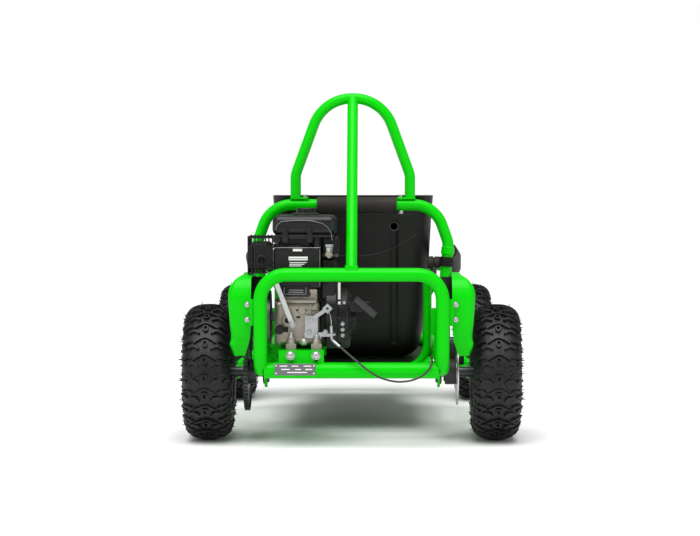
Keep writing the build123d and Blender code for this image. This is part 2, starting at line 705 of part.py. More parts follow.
cage_low, cage_high = (-252, -596, 412), (-190, -444, 502)
with BuildPart() as muffler_guard:
    slab(cage_low, cage_high, round_by=5)
    slab(Vector(cage_low) + Vector(2, 2, 2), Vector(cage_high) + Vector(10, 10, -2), Mode.SUBTRACT)
    with BuildSketch(plane_at((0, cage_low[1] - 2, 442), (0, 1, 0), (1, 0, 0))) as outlet:
        with Locations((-217, 0)):
            Circle(9)
    extrude(outlet.sketch, amount=8, mode=Mode.SUBTRACT)
    for step in range(6):
        slab((-244 + 9 * step, -580, 490), (-240 + 9 * step, -460, 510), Mode.SUBTRACT)
write(muffler_guard, "muffler_guard")

with BuildPart() as muffler:
    slab((-244, -586, 420), (-194, -456, 484), round_by=10)
    rod((-217, -590, 442), (0, 1, 0), 7, 10)
    rod((-196, -520, 450), (1, 0, 0), 9, 11)
write(muffler, "muffler")

stay_top, stay_low = Vector(-176, -634, 390), Vector(-140, -596.5, 291)
with BuildPart() as engine_stay:
    stay_dir = (stay_low - stay_top).normalized()
    with BuildSketch(Plane(origin=stay_top, z_dir=stay_dir, x_dir=Vector(1, 0, 0).cross(stay_dir))) as bar:
        Rectangle(5, 11)
    extrude(bar.sketch, amount=(stay_low - stay_top).length)
    rod((stay_low.X, -592, stay_low.Z), (0, -1, 0), 8, 9)
    cut([loop_tube])
write(engine_stay, "engine_stay")

lever_pivot = Vector(-96, -604, 302)
ferrule = ([(-47.5, -634, 290), (-46.6, -632.4, 257.9), (-27.5, -640, 242)], [14], 7)
with BuildPart() as throttle_bracket:
    slab((-112, -596, 255), (-72, -592, 272))
    slab((-110, -600, 258), (-80, -596, 312))
    rod((lever_pivot.X, -600, lever_pivot.Z), (0, -1, 0), 4, 14)
    slab((-80, -600, 262), (-44, -596, 272))
    slab((-56, -642, 268), (-38, -596, 272))
    cut([ferrule])
write(throttle_bracket, "throttle_bracket")

lever_tip = Vector(-57, -604, 329)
with BuildPart() as throttle_lever:
    with BuildSketch(plane_at(lever_pivot, (0, -1, 0), (1, 0, 0))) as lever:
        Circle(10)
        with BuildLine() as lever_line:
            Line((0, 0), (39, 27))
        trace(lever_line.line, line_width=9)
        with Locations((39, 27)):
            Rectangle(17, 17, rotation=45)
            Circle(3, mode=Mode.SUBTRACT)
        Circle(4.05, mode=Mode.SUBTRACT)
    extrude(lever.sketch, amount=3)
write(throttle_lever, "throttle_lever")

# Clutch on the crankshaft, and the chain down to the axle

pinion_at = Vector(-chain_x, crank_y, crank_z)
with BuildPart() as clutch_drum:
    rod((-208, crank_y, crank_z), (1, 0, 0), 64, 12)
    rod((-262, crank_y, crank_z), (1, 0, 0), 12, 56)
    toothed_disc(pinion_at, pinion_teeth, chain_pitch, 4.2)
    rod((-230, crank_y, crank_z), (1, 0, 0), 10, 70)
write(clutch_drum, "clutch_drum")

pinion_radius = chain_pitch / (2 * sin(pi / pinion_teeth))
chain_span = Vector(0, crank_y - rear_axle_y, crank_z - axle_z)
chain_lean = atan2(chain_span.Z, chain_span.Y)
chain_open = (chain_radius - pinion_radius) / chain_span.length
with BuildPart() as drive_chain:
    # The band runs just outside both sets of teeth.
    with BuildSketch(plane_at((-chain_x, rear_axle_y, axle_z), (1, 0, 0), (0, 1, 0))) as band:
        for grow, mode in ((8.2, Mode.ADD), (4.2, Mode.SUBTRACT)):
            with BuildSketch(mode=mode):
                with BuildLine():
                    big, small = chain_radius + grow, pinion_radius + grow
                    ends = []
                    for turn in (-1, 1):
                        angle = chain_lean + turn * (pi / 2 - chain_open)
                        ends.append((angle, turn))
                    far = (chain_span.Y, chain_span.Z)
                    foot = [(big * cos(a), big * sin(a)) for a, _ in ends]
                    head = [(far[0] + small * cos(a), far[1] + small * sin(a)) for a, _ in ends]
                    back = chain_lean + pi
                    ThreePointArc(foot[0], (big * cos(back), big * sin(back)), foot[1])
                    Line(foot[1], head[1])
                    ThreePointArc(head[1], (far[0] + small * cos(chain_lean),
                                            far[1] + small * sin(chain_lean)), head[0])
                    Line(head[0], foot[0])
                make_face()
    extrude(band.sketch, amount=4, both=True)
write(drive_chain, "drive_chain")

# Fasteners on the frame

with BuildPart() as frame_fasteners:
    for side in left_right:
        bolt((side * arch_bolt_x, hoop_y, arch_bolt_top), (0, 0, 1), 4, 40, 7.5, 6)
        rod((side * arch_bolt_x, hoop_y, 556), (0, 0, -1), 7, 8)
        for z in guard_bolt_z:
            rod((side * (guard_low_x + 3), -615, z), (side, 0, 0), 6, 3)
            rod((side * (guard_low_x + 3), -615, z), (-side, 0, 0), 3, 8)
write(frame_fasteners, "frame_fasteners")

with BuildPart() as data_plate:
    slab((-180, cross_y - 21, 175), (-84, cross_y - 19, 203))
write(data_plate, "data_plate")

with BuildPart() as front_panel:
    with BuildSketch(plane_at((0, 561, 318), (0, 1, 0), (1, 0, 0))) as panel:
        RectangleRounded(300, 160, 28)
    extrude(panel.sketch, amount=4)
write(front_panel, "front_panel")

# Cables

cable_radius = 2.5
cable_route = [
    (-27.5, -640, 242), (0, -651, 219), (26, -660, 198), (45, -664, 183), (67, -665, 171),
    (90, -665, 164), (114, -665, 161), (144, -664, 165), (168, -662, 176), (183, -660, 191),
    (188, -650, 208), (187, -632, 219), (188, -613, 216), (190, -598, 206),
]


def cord_radii(points):
    """The largest even bends that a hand-laid route leaves room for."""
    radii = []
    for before, here, after in zip(points, points[1:], points[2:]):
        arrive, leave = Vector(*here) - Vector(*before), Vector(*after) - Vector(*here)
        turn = arrive.get_angle(leave) * pi / 180
        radii.append(0.45 * min(arrive.length, leave.length) / tan(turn / 2))
    return radii


radii = cord_radii(cable_route)
with BuildPart() as throttle_cable:
    sweep_round(cable_route, radii, 2 * cable_radius)
write(throttle_cable, "throttle_cable")
print("cable volume over area", throttle_cable.part.volume / (pi * cable_radius ** 2))

with BuildPart() as cable_ends:
    # The bent ferrule at the engine, and the clip on the right rail.
    sweep_round(*ferrule)
    exit_dir = Vector(*cable_route[-2]) - Vector(*cable_route[-1])
    rod(cable_route[-1], exit_dir * -1, 4, 14)
write(cable_ends, "cable_ends")
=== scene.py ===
import bpy
import bmesh
import json
import math
from mathutils import Matrix, Vector


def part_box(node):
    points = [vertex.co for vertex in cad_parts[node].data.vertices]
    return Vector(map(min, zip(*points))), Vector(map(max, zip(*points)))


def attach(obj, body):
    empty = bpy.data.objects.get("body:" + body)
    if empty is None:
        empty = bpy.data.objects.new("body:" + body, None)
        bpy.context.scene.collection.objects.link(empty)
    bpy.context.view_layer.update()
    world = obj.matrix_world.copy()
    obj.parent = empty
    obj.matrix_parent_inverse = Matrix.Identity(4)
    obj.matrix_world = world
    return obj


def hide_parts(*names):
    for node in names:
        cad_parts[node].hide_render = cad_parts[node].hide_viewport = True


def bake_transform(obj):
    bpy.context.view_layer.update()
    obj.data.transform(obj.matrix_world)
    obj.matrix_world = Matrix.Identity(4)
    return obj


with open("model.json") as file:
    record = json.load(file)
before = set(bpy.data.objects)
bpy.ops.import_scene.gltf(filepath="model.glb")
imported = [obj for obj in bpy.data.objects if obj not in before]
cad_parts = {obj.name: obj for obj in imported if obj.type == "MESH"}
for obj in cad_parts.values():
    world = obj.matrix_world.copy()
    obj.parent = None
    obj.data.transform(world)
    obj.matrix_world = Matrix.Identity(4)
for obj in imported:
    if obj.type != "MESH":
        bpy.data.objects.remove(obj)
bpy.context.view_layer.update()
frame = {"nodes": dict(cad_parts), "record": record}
print("frame loaded")

scene = bpy.context.scene
nodes = frame["nodes"]


def middleOf(name):
    low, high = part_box(name)
    return (low + high) / 2


rearAxle = middleOf("rear_axle_shaft")
frontWheel = middleOf("front_tyre_right")


# Camera, floor and light

view = {"back": 4.9, "right": 0.05, "height": 0.637, "down": 2.56, "left": 0.65, "lens": 103.7}


def makeCamera():
    data = bpy.data.cameras.new("camera")
    data.lens = view["lens"]
    data.sensor_width = 36
    camera = bpy.data.objects.new("camera", data)
    camera.location = (view["right"], rearAxle.y - view["back"], view["height"])
    camera.rotation_euler = (math.radians(90 - view["down"]), 0, math.radians(view["left"]))
    scene.collection.objects.link(camera)
    scene.camera = camera


studio = {
    "floorSize": 60, "sky": 0.36, "sun": 2.9, "sunSize": 50, "sunTurn": (24, 0, -8),
    "areas": [  # name, place, aim, power and size
        ("overhead", (0, -0.6, 3.4), (0, -0.1, 0.2), 26, (3.2, 3.2)),
        ("behindLeft", (-2.6, -3.4, 1.9), (0, -0.3, 0.35), 22, (1.6, 2.2)),
        ("behindRight", (2.8, -3.0, 1.5), (0, -0.3, 0.3), 18, (1.4, 2.0)),
    ],
}


def areaLight(name, place, aim, power, size):
    data = bpy.data.lights.new(name, "AREA")
    data.energy = power
    data.shape = "RECTANGLE"
    data.size, data.size_y = size
    light = bpy.data.objects.new(name, data)
    light.location = place
    light.rotation_euler = (Vector(aim) - Vector(place)).to_track_quat("-Z", "Y").to_euler()
    scene.collection.objects.link(light)


def makeWorld():
    scene.view_settings.view_transform = "Standard"
    world = bpy.data.worlds.new("studio")
    world.use_nodes = True
    made, link = world.node_tree.nodes, world.node_tree.links.new
    back, rays, level = made["Background"], made.new("ShaderNodeLightPath"), made.new("ShaderNodeMix")
    back.inputs["Color"].default_value = (1, 1, 1, 1)
    level.inputs[2].default_value = studio["sky"]
    level.inputs[3].default_value = 1.0  # seen directly, the backdrop is white
    link(rays.outputs["Is Camera Ray"], level.inputs[0])
    link(level.outputs[0], back.inputs["Strength"])
    scene.world = world


def makeFloor():
    bpy.ops.mesh.primitive_plane_add(size=studio["floorSize"])
    floor = bpy.context.object
    floor.name = "floor"
    paint = bpy.data.materials.new("paleFloor")
    paint.use_nodes = True
    shader = paint.node_tree.nodes["Principled BSDF"]
    shader.inputs["Base Color"].default_value = (0.93, 0.93, 0.93, 1)
    shader.inputs["Roughness"].default_value = 0.6
    shader.inputs["Specular IOR Level"].default_value = 0.1
    floor.data.materials.append(paint)


def makeLights():
    data = bpy.data.lights.new("softSun", "SUN")
    data.energy = studio["sun"]
    data.angle = math.radians(studio["sunSize"])
    sun = bpy.data.objects.new("softSun", data)
    sun.rotation_euler = [math.radians(turn) for turn in studio["sunTurn"]]
    scene.collection.objects.link(sun)
    for name, place, aim, power, size in studio["areas"]:
        areaLight(name, place, aim, power, size)


makeCamera()
makeWorld()
makeFloor()
makeLights()
print("studio ready")


# Shared surface effects

def groupSocket(tree, name, direction, kind, value=None):
    socket = tree.interface.new_socket(name=name, in_out=direction, socket_type=kind)
    if value is not None:
        socket.default_value = value


surface = bpy.data.node_groups.new("surfaceDetail", "ShaderNodeTree")
for socketName, kind, value in (
    ("Color", "NodeSocketColor", (0.5, 0.5, 0.5, 1)), ("Tint", "NodeSocketColor", (0.3, 0.3, 0.3, 1)),
    ("Tint Amount", "NodeSocketFloat", 0.2), ("Tint Scale", "NodeSocketFloat", 8.0),
    ("Roughness", "NodeSocketFloat", 0.4), ("Roughness Spread", "NodeSocketFloat", 0.1),
    ("Grain Scale", "NodeSocketFloat", 400.0), ("Grain Depth", "NodeSocketFloat", 0.1),
    ("Grain Size", "NodeSocketFloat", 0.0005),
):
    groupSocket(surface, socketName, "INPUT", kind, value)
groupSocket(surface, "Color", "OUTPUT", "NodeSocketColor")
groupSocket(surface, "Roughness", "OUTPUT", "NodeSocketFloat")
groupSocket(surface, "Normal", "OUTPUT", "NodeSocketVector")


def buildSurfaceGroup(tree):
    made, link = tree.nodes, tree.links.new
    inlet, outlet = made.new("NodeGroupInput"), made.new("NodeGroupOutput")
    place = made.new("ShaderNodeTexCoord")
    patches, grain = made.new("ShaderNodeTexNoise"), made.new("ShaderNodeTexNoise")
    patches.inputs["Detail"].default_value = 5
    grain.inputs["Detail"].default_value = 3
    link(place.outputs["Object"], patches.inputs["Vector"])
    link(place.outputs["Object"], grain.inputs["Vector"])
    link(inlet.outputs["Tint Scale"], patches.inputs["Scale"])
    link(inlet.outputs["Grain Scale"], grain.inputs["Scale"])
    amount = made.new("ShaderNodeMath")
    amount.operation = "MULTIPLY"
    link(patches.outputs["Fac"], amount.inputs[0])
    link(inlet.outputs["Tint Amount"], amount.inputs[1])
    mix = made.new("ShaderNodeMix")
    mix.data_type = "RGBA"
    link(amount.outputs[0], mix.inputs["Factor"])
    link(inlet.outputs["Color"], mix.inputs[6])
    link(inlet.outputs["Tint"], mix.inputs[7])
    spread = made.new("ShaderNodeMath")
    spread.operation = "MULTIPLY_ADD"
    link(patches.outputs["Fac"], spread.inputs[0])
    link(inlet.outputs["Roughness Spread"], spread.inputs[1])
    link(inlet.outputs["Roughness"], spread.inputs[2])
    bump = made.new("ShaderNodeBump")
    link(inlet.outputs["Grain Depth"], bump.inputs["Strength"])
    link(inlet.outputs["Grain Size"], bump.inputs["Distance"])
    link(grain.outputs["Fac"], bump.inputs["Height"])
    link(mix.outputs[2], outlet.inputs["Color"])
    link(spread.outputs[0], outlet.inputs["Roughness"])
    link(bump.outputs["Normal"], outlet.inputs["Normal"])


buildSurfaceGroup(surface)


def makeMaterial(name, color, tint, rough, spread, metal=0.0, coat=0.0, sheen=0.0, specular=0.5,
                 tintAmount=0.3, tintScale=12, grainScale=500, grainDepth=0.15, grainSize=0.0004):
    material = bpy.data.materials.new(name)
    material.use_nodes = True
    tree = material.node_tree
    shader = tree.nodes["Principled BSDF"]
    detail = tree.nodes.new("ShaderNodeGroup")
    detail.node_tree = surface
    values = {"Color": (*color, 1), "Tint": (*tint, 1), "Tint Amount": tintAmount,
              "Tint Scale": tintScale, "Roughness": rough, "Roughness Spread": spread,
              "Grain Scale": grainScale, "Grain Depth": grainDepth, "Grain Size": grainSize}
    for key, value in values.items():
        detail.inputs[key].default_value = value
    tree.links.new(detail.outputs["Color"], shader.inputs["Base Color"])
    tree.links.new(detail.outputs["Roughness"], shader.inputs["Roughness"])
    tree.links.new(detail.outputs["Normal"], shader.inputs["Normal"])
    shader.inputs["Metallic"].default_value = metal
    shader.inputs["Coat Weight"].default_value = coat
    shader.inputs["Coat Roughness"].default_value = 0.08
    shader.inputs["Sheen Weight"].default_value = sheen
    shader.inputs["Specular IOR Level"].default_value = specular
    return material


greenCoat = makeMaterial("greenPowderCoat", (0.0, 0.56, 0.0), (0.0, 0.42, 0.0), 0.3, 0.1, coat=0.04,
                         specular=0.12, tintAmount=0.25, grainScale=260, grainDepth=0.08, grainSize=0.0006)
blackCoat = makeMaterial("blackCoat", (0.006, 0.006, 0.006), (0.016, 0.015, 0.014), 0.35, 0.2, specular=0.35)
foamSkin = makeMaterial("foamSkin", (0.026, 0.02, 0.018), (0.012, 0.01, 0.009), 0.6, 0.2, specular=0.3,
                        grainScale=900, grainDepth=0.35, grainSize=0.0005)
rubberBlack = makeMaterial("ribbedRubber", (0.005, 0.005, 0.005), (0.012, 0.012, 0.012), 0.45, 0.2,
                           specular=0.35, grainScale=700, grainDepth=0.2)
seatPlastic = makeMaterial("seatPlastic", (0.006, 0.0058, 0.0055), (0.014, 0.013, 0.012), 0.38, 0.14,
                           specular=0.3, tintScale=5, grainScale=1400, grainDepth=0.3, grainSize=0.0003)
zinc = makeMaterial("zincPlate", (0.5, 0.51, 0.52), (0.3, 0.3, 0.28), 0.22, 0.25, metal=1.0,
                    tintScale=60, grainScale=900, grainDepth=0.1)
castMetal = makeMaterial("castAluminium", (0.5, 0.45, 0.38), (0.06, 0.052, 0.045), 0.3, 0.3, metal=0.85,
                         tintScale=34, tintAmount=0.75, grainScale=420, grainDepth=0.5, grainSize=0.0006)
engineBlack = makeMaterial("engineBlack", (0.004, 0.004, 0.004), (0.012, 0.012, 0.012), 0.3, 0.15,
                           specular=0.35, grainScale=900, grainDepth=0.2)
# Black heat paint of the muffler guard; the same black also serves as painted shade on the guards and the
# crankcase
cageBlackAndShade = makeMaterial("heatBlackAndShade", (0.004, 0.004, 0.004), (0.014, 0.013, 0.012), 0.42, 0.2,
                         specular=0.3, grainScale=350, grainDepth=0.3)
# Dark plate metal; the same grey also paints the highlight on the starter handle's ribs
plateMetalAndHighlight = makeMaterial("plateMetalAndHighlight", (0.2, 0.2, 0.21), (0.1, 0.1, 0.11), 0.3, 0.2, metal=0.9,
                          grainScale=1200, grainDepth=0.1)
axleSteel = makeMaterial("axleSteel", (0.1, 0.1, 0.105), (0.05, 0.047, 0.045), 0.3, 0.25, metal=0.95,
                         tintScale=30, grainScale=600)
bearingCast = makeMaterial("bearingCast", (0.03, 0.03, 0.032), (0.07, 0.065, 0.06), 0.45, 0.2,
                           metal=0.3, grainScale=320, grainDepth=0.4)
darkSteel = makeMaterial("oiledSteel", (0.07, 0.07, 0.072), (0.02, 0.019, 0.018), 0.28, 0.25, metal=0.9,
                         tintScale=40, grainScale=700)
discSteel = makeMaterial("groundSteel", (0.62, 0.62, 0.62), (0.45, 0.43, 0.4), 0.22, 0.2, metal=1.0,
                         tintScale=50, grainScale=1500, grainDepth=0.15)
rimBlack = makeMaterial("rimBlack", (0.006, 0.006, 0.006), (0.016, 0.015, 0.014), 0.3, 0.2, coat=0.15)
tyreRubber = makeMaterial("tyreRubber", (0.0035, 0.0035, 0.0038), (0.012, 0.0115, 0.011), 0.4, 0.2,
                          specular=0.38, tintScale=18, grainScale=800, grainDepth=0.35,
                          grainSize=0.0005)
cableBlack = makeMaterial("cableSheath", (0.02, 0.02, 0.02), (0.04, 0.04, 0.04), 0.25, 0.1,
                          grainScale=1500, grainDepth=0.05)
gripBlack = makeMaterial("gripBlack", (0.015, 0.015, 0.015), (0.035, 0.033, 0.03), 0.5, 0.2,
                         grainScale=1100, grainDepth=0.3)
# A lighter grey that paints the highlight on the seat's moulded ridges
ridgeHighlightGrey = makeMaterial("ridgeHighlightGrey", (0.045, 0.042, 0.04), (0.02, 0.02, 0.02), 0.5, 0.1, tintAmount=0.3)
drumSteel = makeMaterial("drumSteel", (0.2, 0.2, 0.205), (0.08, 0.078, 0.075), 0.34, 0.2, metal=0.85,
                         tintScale=30, grainScale=700)
labelWhite = makeMaterial("labelWhite", (0.78, 0.78, 0.76), (0.6, 0.6, 0.58), 0.35, 0.1, tintAmount=0.2)
labelGrey = makeMaterial("labelGrey", (0.2, 0.2, 0.2), (0.3, 0.3, 0.3), 0.4, 0.1, tintAmount=0.2)

slotMaterials = {
    "green_coat": greenCoat, "black_coat": blackCoat, "foam": foamSkin, "black_rubber": rubberBlack,
    "seat_plastic": seatPlastic, "zinc": zinc, "cast_aluminium": castMetal,
    "engine_black": engineBlack, "cage_black": cageBlackAndShade, "plate_metal": plateMetalAndHighlight,
    "axle_steel": axleSteel, "bearing_metal": bearingCast, "dark_steel": darkSteel,
    "disc_steel": discSteel, "rim_black": rimBlack, "tyre": tyreRubber, "cable_black": cableBlack,
    "grip_black": gripBlack, "pedal_metal": blackCoat,
}
for part in frame["record"]["subparts"]:
    mesh = nodes[part["node"]].data
    mesh.materials.clear()
    mesh.materials.append(slotMaterials[part["material_slot"]])
nodes["clutch_drum"].data.materials[0] = drumSteel
print("materials ready")


# Mesh helpers; every piece keeps its place in its mesh

mm = 0.001


def vec(*values):
    return Vector(values) * mm


def addRing(bm, centre, normal, radius, count):
    turn = Vector(normal).to_track_quat("Z", "Y")
    points = []
    for k in range(count):
        angle = 2 * math.pi * k / count
        spot = Vector((radius * math.cos(angle), radius * math.sin(angle), 0))
        points.append(bm.verts.new(centre + turn @ spot))
    return points


def skin(bm, rings, capStart=True, capEnd=True, closed=True):
    for one, two in zip(rings, rings[1:]):
        count = len(one)
        for k in range(count if closed else count - 1):
            after = (k + 1) % count
            bm.faces.new((one[k], one[after], two[after], two[k]))
    if capStart:
        bm.faces.new(list(reversed(rings[0])))
    if capEnd:
        bm.faces.new(rings[-1])


def addLathe(bm, start, normal, profile, count=32, caps=True):
    # profile is distance along the axis and radius, in millimetres
    axis = Vector(normal).normalized()
    rings = [addRing(bm, start + axis * (along * mm), axis, radius * mm, count)
             for along, radius in profile]
    skin(bm, rings, caps, caps)


def addBlock(bm, low, high, bevel=0.0, segments=2):
    made = bmesh.ops.create_cube(bm, size=1)
    size, middle = Vector(high) - Vector(low), (Vector(high) + Vector(low)) / 2
    bmesh.ops.scale(bm, vec=size, verts=made["verts"])
    bmesh.ops.translate(bm, vec=middle, verts=made["verts"])
    if bevel:
        edges = {edge for vert in made["verts"] for edge in vert.link_edges}
        bmesh.ops.bevel(bm, geom=list(edges), offset=bevel, segments=segments, affect="EDGES",
                        profile=0.5)


def addHex(bm, centre, normal, across, height, washer=0.0):
    if washer:
        addLathe(bm, centre, normal, [(0, washer), (1.2, washer), (1.5, washer - 0.4)], 24)
        centre = centre + Vector(normal).normalized() * 1.5 * mm
    profile = [(0, across * 0.56), (height - 0.8, across * 0.57), (height, across * 0.5)]
    addLathe(bm, centre, normal, profile, 6)


def addTube(bm, points, radius, count=10, caps=True):
    rings = []
    for k, point in enumerate(points):
        before, after = points[max(k - 1, 0)], points[min(k + 1, len(points) - 1)]
        rings.append(addRing(bm, point, (after - before).normalized(), radius, count))
    skin(bm, rings, caps, caps)


def addTable(bm, blocks):
    # blocks as (low corner, high corner, bevel), in millimetres
    for low, high, bevel in blocks:
        addBlock(bm, vec(*low), vec(*high), bevel * mm)


def closeMesh(bm, name):
    bmesh.ops.recalc_face_normals(bm, faces=bm.faces)
    mesh = bpy.data.meshes.new(name)
    bm.to_mesh(mesh)
    bm.free()
    return mesh


def showMesh(mesh, smooth):
    # smooth up to an angle in degrees, on an object with the mesh's name
    for face in mesh.polygons:
        face.use_smooth = True
    mesh.set_sharp_from_angle(angle=math.radians(smooth))
    piece = bpy.data.objects.new(mesh.name, mesh)
    scene.collection.objects.link(piece)
    return piece


def makePiece(name, bm, material, body="chassis", smooth=30.0, replaces=()):
    mesh = closeMesh(bm, name)
    mesh.materials.append(material)
    piece = showMesh(mesh, smooth)
    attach(piece, body)
    if replaces:
        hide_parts(*replaces)


def splinePoint(a, b, c, d, t):
    # a Catmull-Rom curve, between b and c
    return 0.5 * ((2 * b) + (c - a) * t + (2 * a - 5 * b + 4 * c - d) * t * t
                  + (3 * b - a - 3 * c + d) * t ** 3)


def smoothCurve(points, count):
    # evenly counted points on a curve through the given ones
    knots = [Vector(point) for point in points]
    knots = [knots[0] * 2 - knots[1]] + knots + [knots[-1] * 2 - knots[-2]]
    spans = len(knots) - 3
    made = []
    for k in range(count):
        place = k / (count - 1) * spans
        start = min(int(place), spans - 1)
        made.append(splinePoint(*knots[start:start + 4], place - start))
    return made


def smoothValues(values, count):
    return [spot.x for spot in smoothCurve([(value, 0) for value in values], count)]


# Tyres: a carcass, and one pitch of tread lugs that a node tree repeats round the wheel

tyre = {
    "pitches": 24, "treadRadius": 157, "rounds": 96, "halfWidth": 60, "frontScale": 0.88,
    "section": [(0, 158.5), (18, 157.6), (33, 154), (43, 148), (50, 139.5), (54.5, 129),
                (57, 117), (57.6, 105), (56, 93), (51, 84), (48, 78)],
    "wall": 7, "innerScale": 0.86, "lugHeight": 6.5, "lugTaper": 0.72, "lugSink": -2,
    "drop": (5.5, 9), "dropDent": 3, "dropWidth": 4.2,
    "bars": [  # one half's lugs: points as (across, share of a pitch), widths, share of the height
        ([(0.5, 0.36), (8, 0.30), (18, 0.16), (27, 0.02)], [4.5, 4, 4, 3.5], 1),
        ([(14, -0.36), (21, -0.20), (29, -0.16), (38, -0.30)], [6, 8.5, 8.5, 6], 1),
        ([(30, 0.12), (38, 0.20), (47, 0.12), (57, 0.14)], [5, 7.5, 7.5, 6], 0.95),
        ([(44, -0.26), (52, -0.22), (61, -0.24), (70, -0.24)], [6.5, 8, 7.5, 5], 0.7),
        ([(64, 0.24), (72, 0.24), (80, 0.24)], [5, 4.5, 3.5], 0.3),
    ],
    "whiskers": {"Density": 2600.0, "Length": 8.5 * mm, "Tip Radius": 0.5 * mm, "Root Radius": 1.1 * mm,
                 "Smallest": 0.45},
}


def smoothSection(widthScale):
    # a curve through the section's points, as (across, radius), with its arc lengths
    points = [Vector((u * widthScale, r)) for u, r in tyre["section"]]
    points = [Vector((-points[1].x, points[1].y))] + points + [points[-1] * 2 - points[-2]]
    curve = []
    for a, b, c, d in zip(points, points[1:], points[2:], points[3:]):
        curve += [splinePoint(a, b, c, d, step / 5) for step in range(5)]
    curve.append(points[-2])
    lengths = [0.0]
    for one, two in zip(curve, curve[1:]):
        lengths.append(lengths[-1] + (two - one).length)
    return curve, lengths


def sectionAt(section, reach):
    # the point and the outward direction at a distance across the tread from its middle
    curve, lengths = section
    side = 1 if reach >= 0 else -1
    reach = min(abs(reach), lengths[-1] - 0.01)
    k = max(i for i, length in enumerate(lengths) if length <= reach)
    k = min(k, len(curve) - 2)
    share = (reach - lengths[k]) / (lengths[k + 1] - lengths[k])
    spot = curve[k].lerp(curve[k + 1], share)
    along = (curve[k + 1] - curve[k]).normalized()
    return Vector((side * spot.x, spot.y)), Vector((side * abs(along.y), abs(along.x)))


def treadPoint(section, reach, run, height):
    spot, out = sectionAt(section, reach)
    spot = spot + out * height
    angle = -run / tyre["treadRadius"]
    return vec(spot.x, -spot.y * math.sin(angle), spot.y * math.cos(angle))


def addLug(bm, section, spine, widths, height, closed=False):
    # a bar of rubber along a spine of (across, around) points, in millimetres
    taper, sink = tyre["lugTaper"], tyre["lugSink"]
    count = len(spine)
    rings = []
    for k in range(count):
        before = spine[(k - 1) % count] if closed or k else spine[k]
        after = spine[(k + 1) % count] if closed or k < count - 1 else spine[k]
        run = (Vector(after) - Vector(before)).normalized()
        side = Vector((run.y, -run.x)) * (widths[k % len(widths)] / 2)
        ring = []
        for reach, top in ((1, sink), (taper, height), (-taper, height), (-1, sink)):
            spot = Vector(spine[k]) + side * reach
            ring.append(bm.verts.new(treadPoint(section, spot.x, spot.y, top)))
        rings.append(ring)
    if closed:
        skin(bm, rings + [rings[0]], False, False)
    else:
        skin(bm, rings)


def onePitch(section, widthScale):
    # the lugs of one pitch: the middle teardrop with its hole, and the bars of both halves
    bm = bmesh.new()
    pitch = 2 * math.pi * tyre["treadRadius"] / tyre["pitches"]
    across, along = tyre["drop"]
    drop = []
    for k in range(10):
        angle = 2 * math.pi * k / 10
        dent = tyre["dropDent"] if math.sin(angle) > 0.9 else 0
        drop.append((across * math.cos(angle), along * math.sin(angle) - dent))
    addLug(bm, section, drop, [tyre["dropWidth"]], tyre["lugHeight"], closed=True)
    for side in (-1, 1):
        for spine, widths, share in tyre["bars"]:
            points = [(side * u * widthScale, v * pitch) for u, v in spine]
            addLug(bm, section, points, widths, tyre["lugHeight"] * share)
    return closeMesh(bm, "treadPitch")


def socketId(tree, name):
    return next(item.identifier for item in tree.interface.items_tree
                if item.item_type == "SOCKET" and item.in_out == "INPUT" and item.name == name)


def newTree(name, inputs):
    tree = bpy.data.node_groups.new(name, "GeometryNodeTree")
    groupSocket(tree, "Geometry", "INPUT", "NodeSocketGeometry")
    for socketName, kind, value in inputs:
        groupSocket(tree, socketName, "INPUT", kind, value)
    groupSocket(tree, "Geometry", "OUTPUT", "NodeSocketGeometry")
    return tree, tree.nodes.new("NodeGroupInput"), tree.nodes.new("NodeGroupOutput")


def repeatRoundTree():
    # copies the incoming mesh round the X axis
    tree, inlet, outlet = newTree("repeatRound", [
        ("Count", "NodeSocketInt", 24), ("Material", "NodeSocketMaterial", None)])
    made, link = tree.nodes, tree.links.new
    spots = made.new("GeometryNodeMeshLine")
    spots.mode = "OFFSET"
    link(inlet.outputs["Count"], spots.inputs["Count"])
    spots.inputs["Offset"].default_value = (0, 0, 0)
    index, angle = made.new("GeometryNodeInputIndex"), made.new("ShaderNodeMath")
    angle.operation = "DIVIDE"
    link(index.outputs[0], angle.inputs[0])
    link(inlet.outputs["Count"], angle.inputs[1])
    whole = made.new("ShaderNodeMath")
    whole.operation = "MULTIPLY"
    whole.inputs[1].default_value = 2 * math.pi
    link(angle.outputs[0], whole.inputs[0])
    turn = made.new("ShaderNodeCombineXYZ")
    link(whole.outputs[0], turn.inputs["X"])
    copies = made.new("GeometryNodeInstanceOnPoints")
    link(spots.outputs[0], copies.inputs["Points"])
    link(inlet.outputs["Geometry"], copies.inputs["Instance"])
    link(turn.outputs[0], copies.inputs["Rotation"])
    real, paint = made.new("GeometryNodeRealizeInstances"), made.new("GeometryNodeSetMaterial")
    link(copies.outputs[0], real.inputs[0])
    link(real.outputs[0], paint.inputs["Geometry"])
    link(inlet.outputs["Material"], paint.inputs["Material"])
    link(paint.outputs[0], outlet.inputs[0])
    return tree


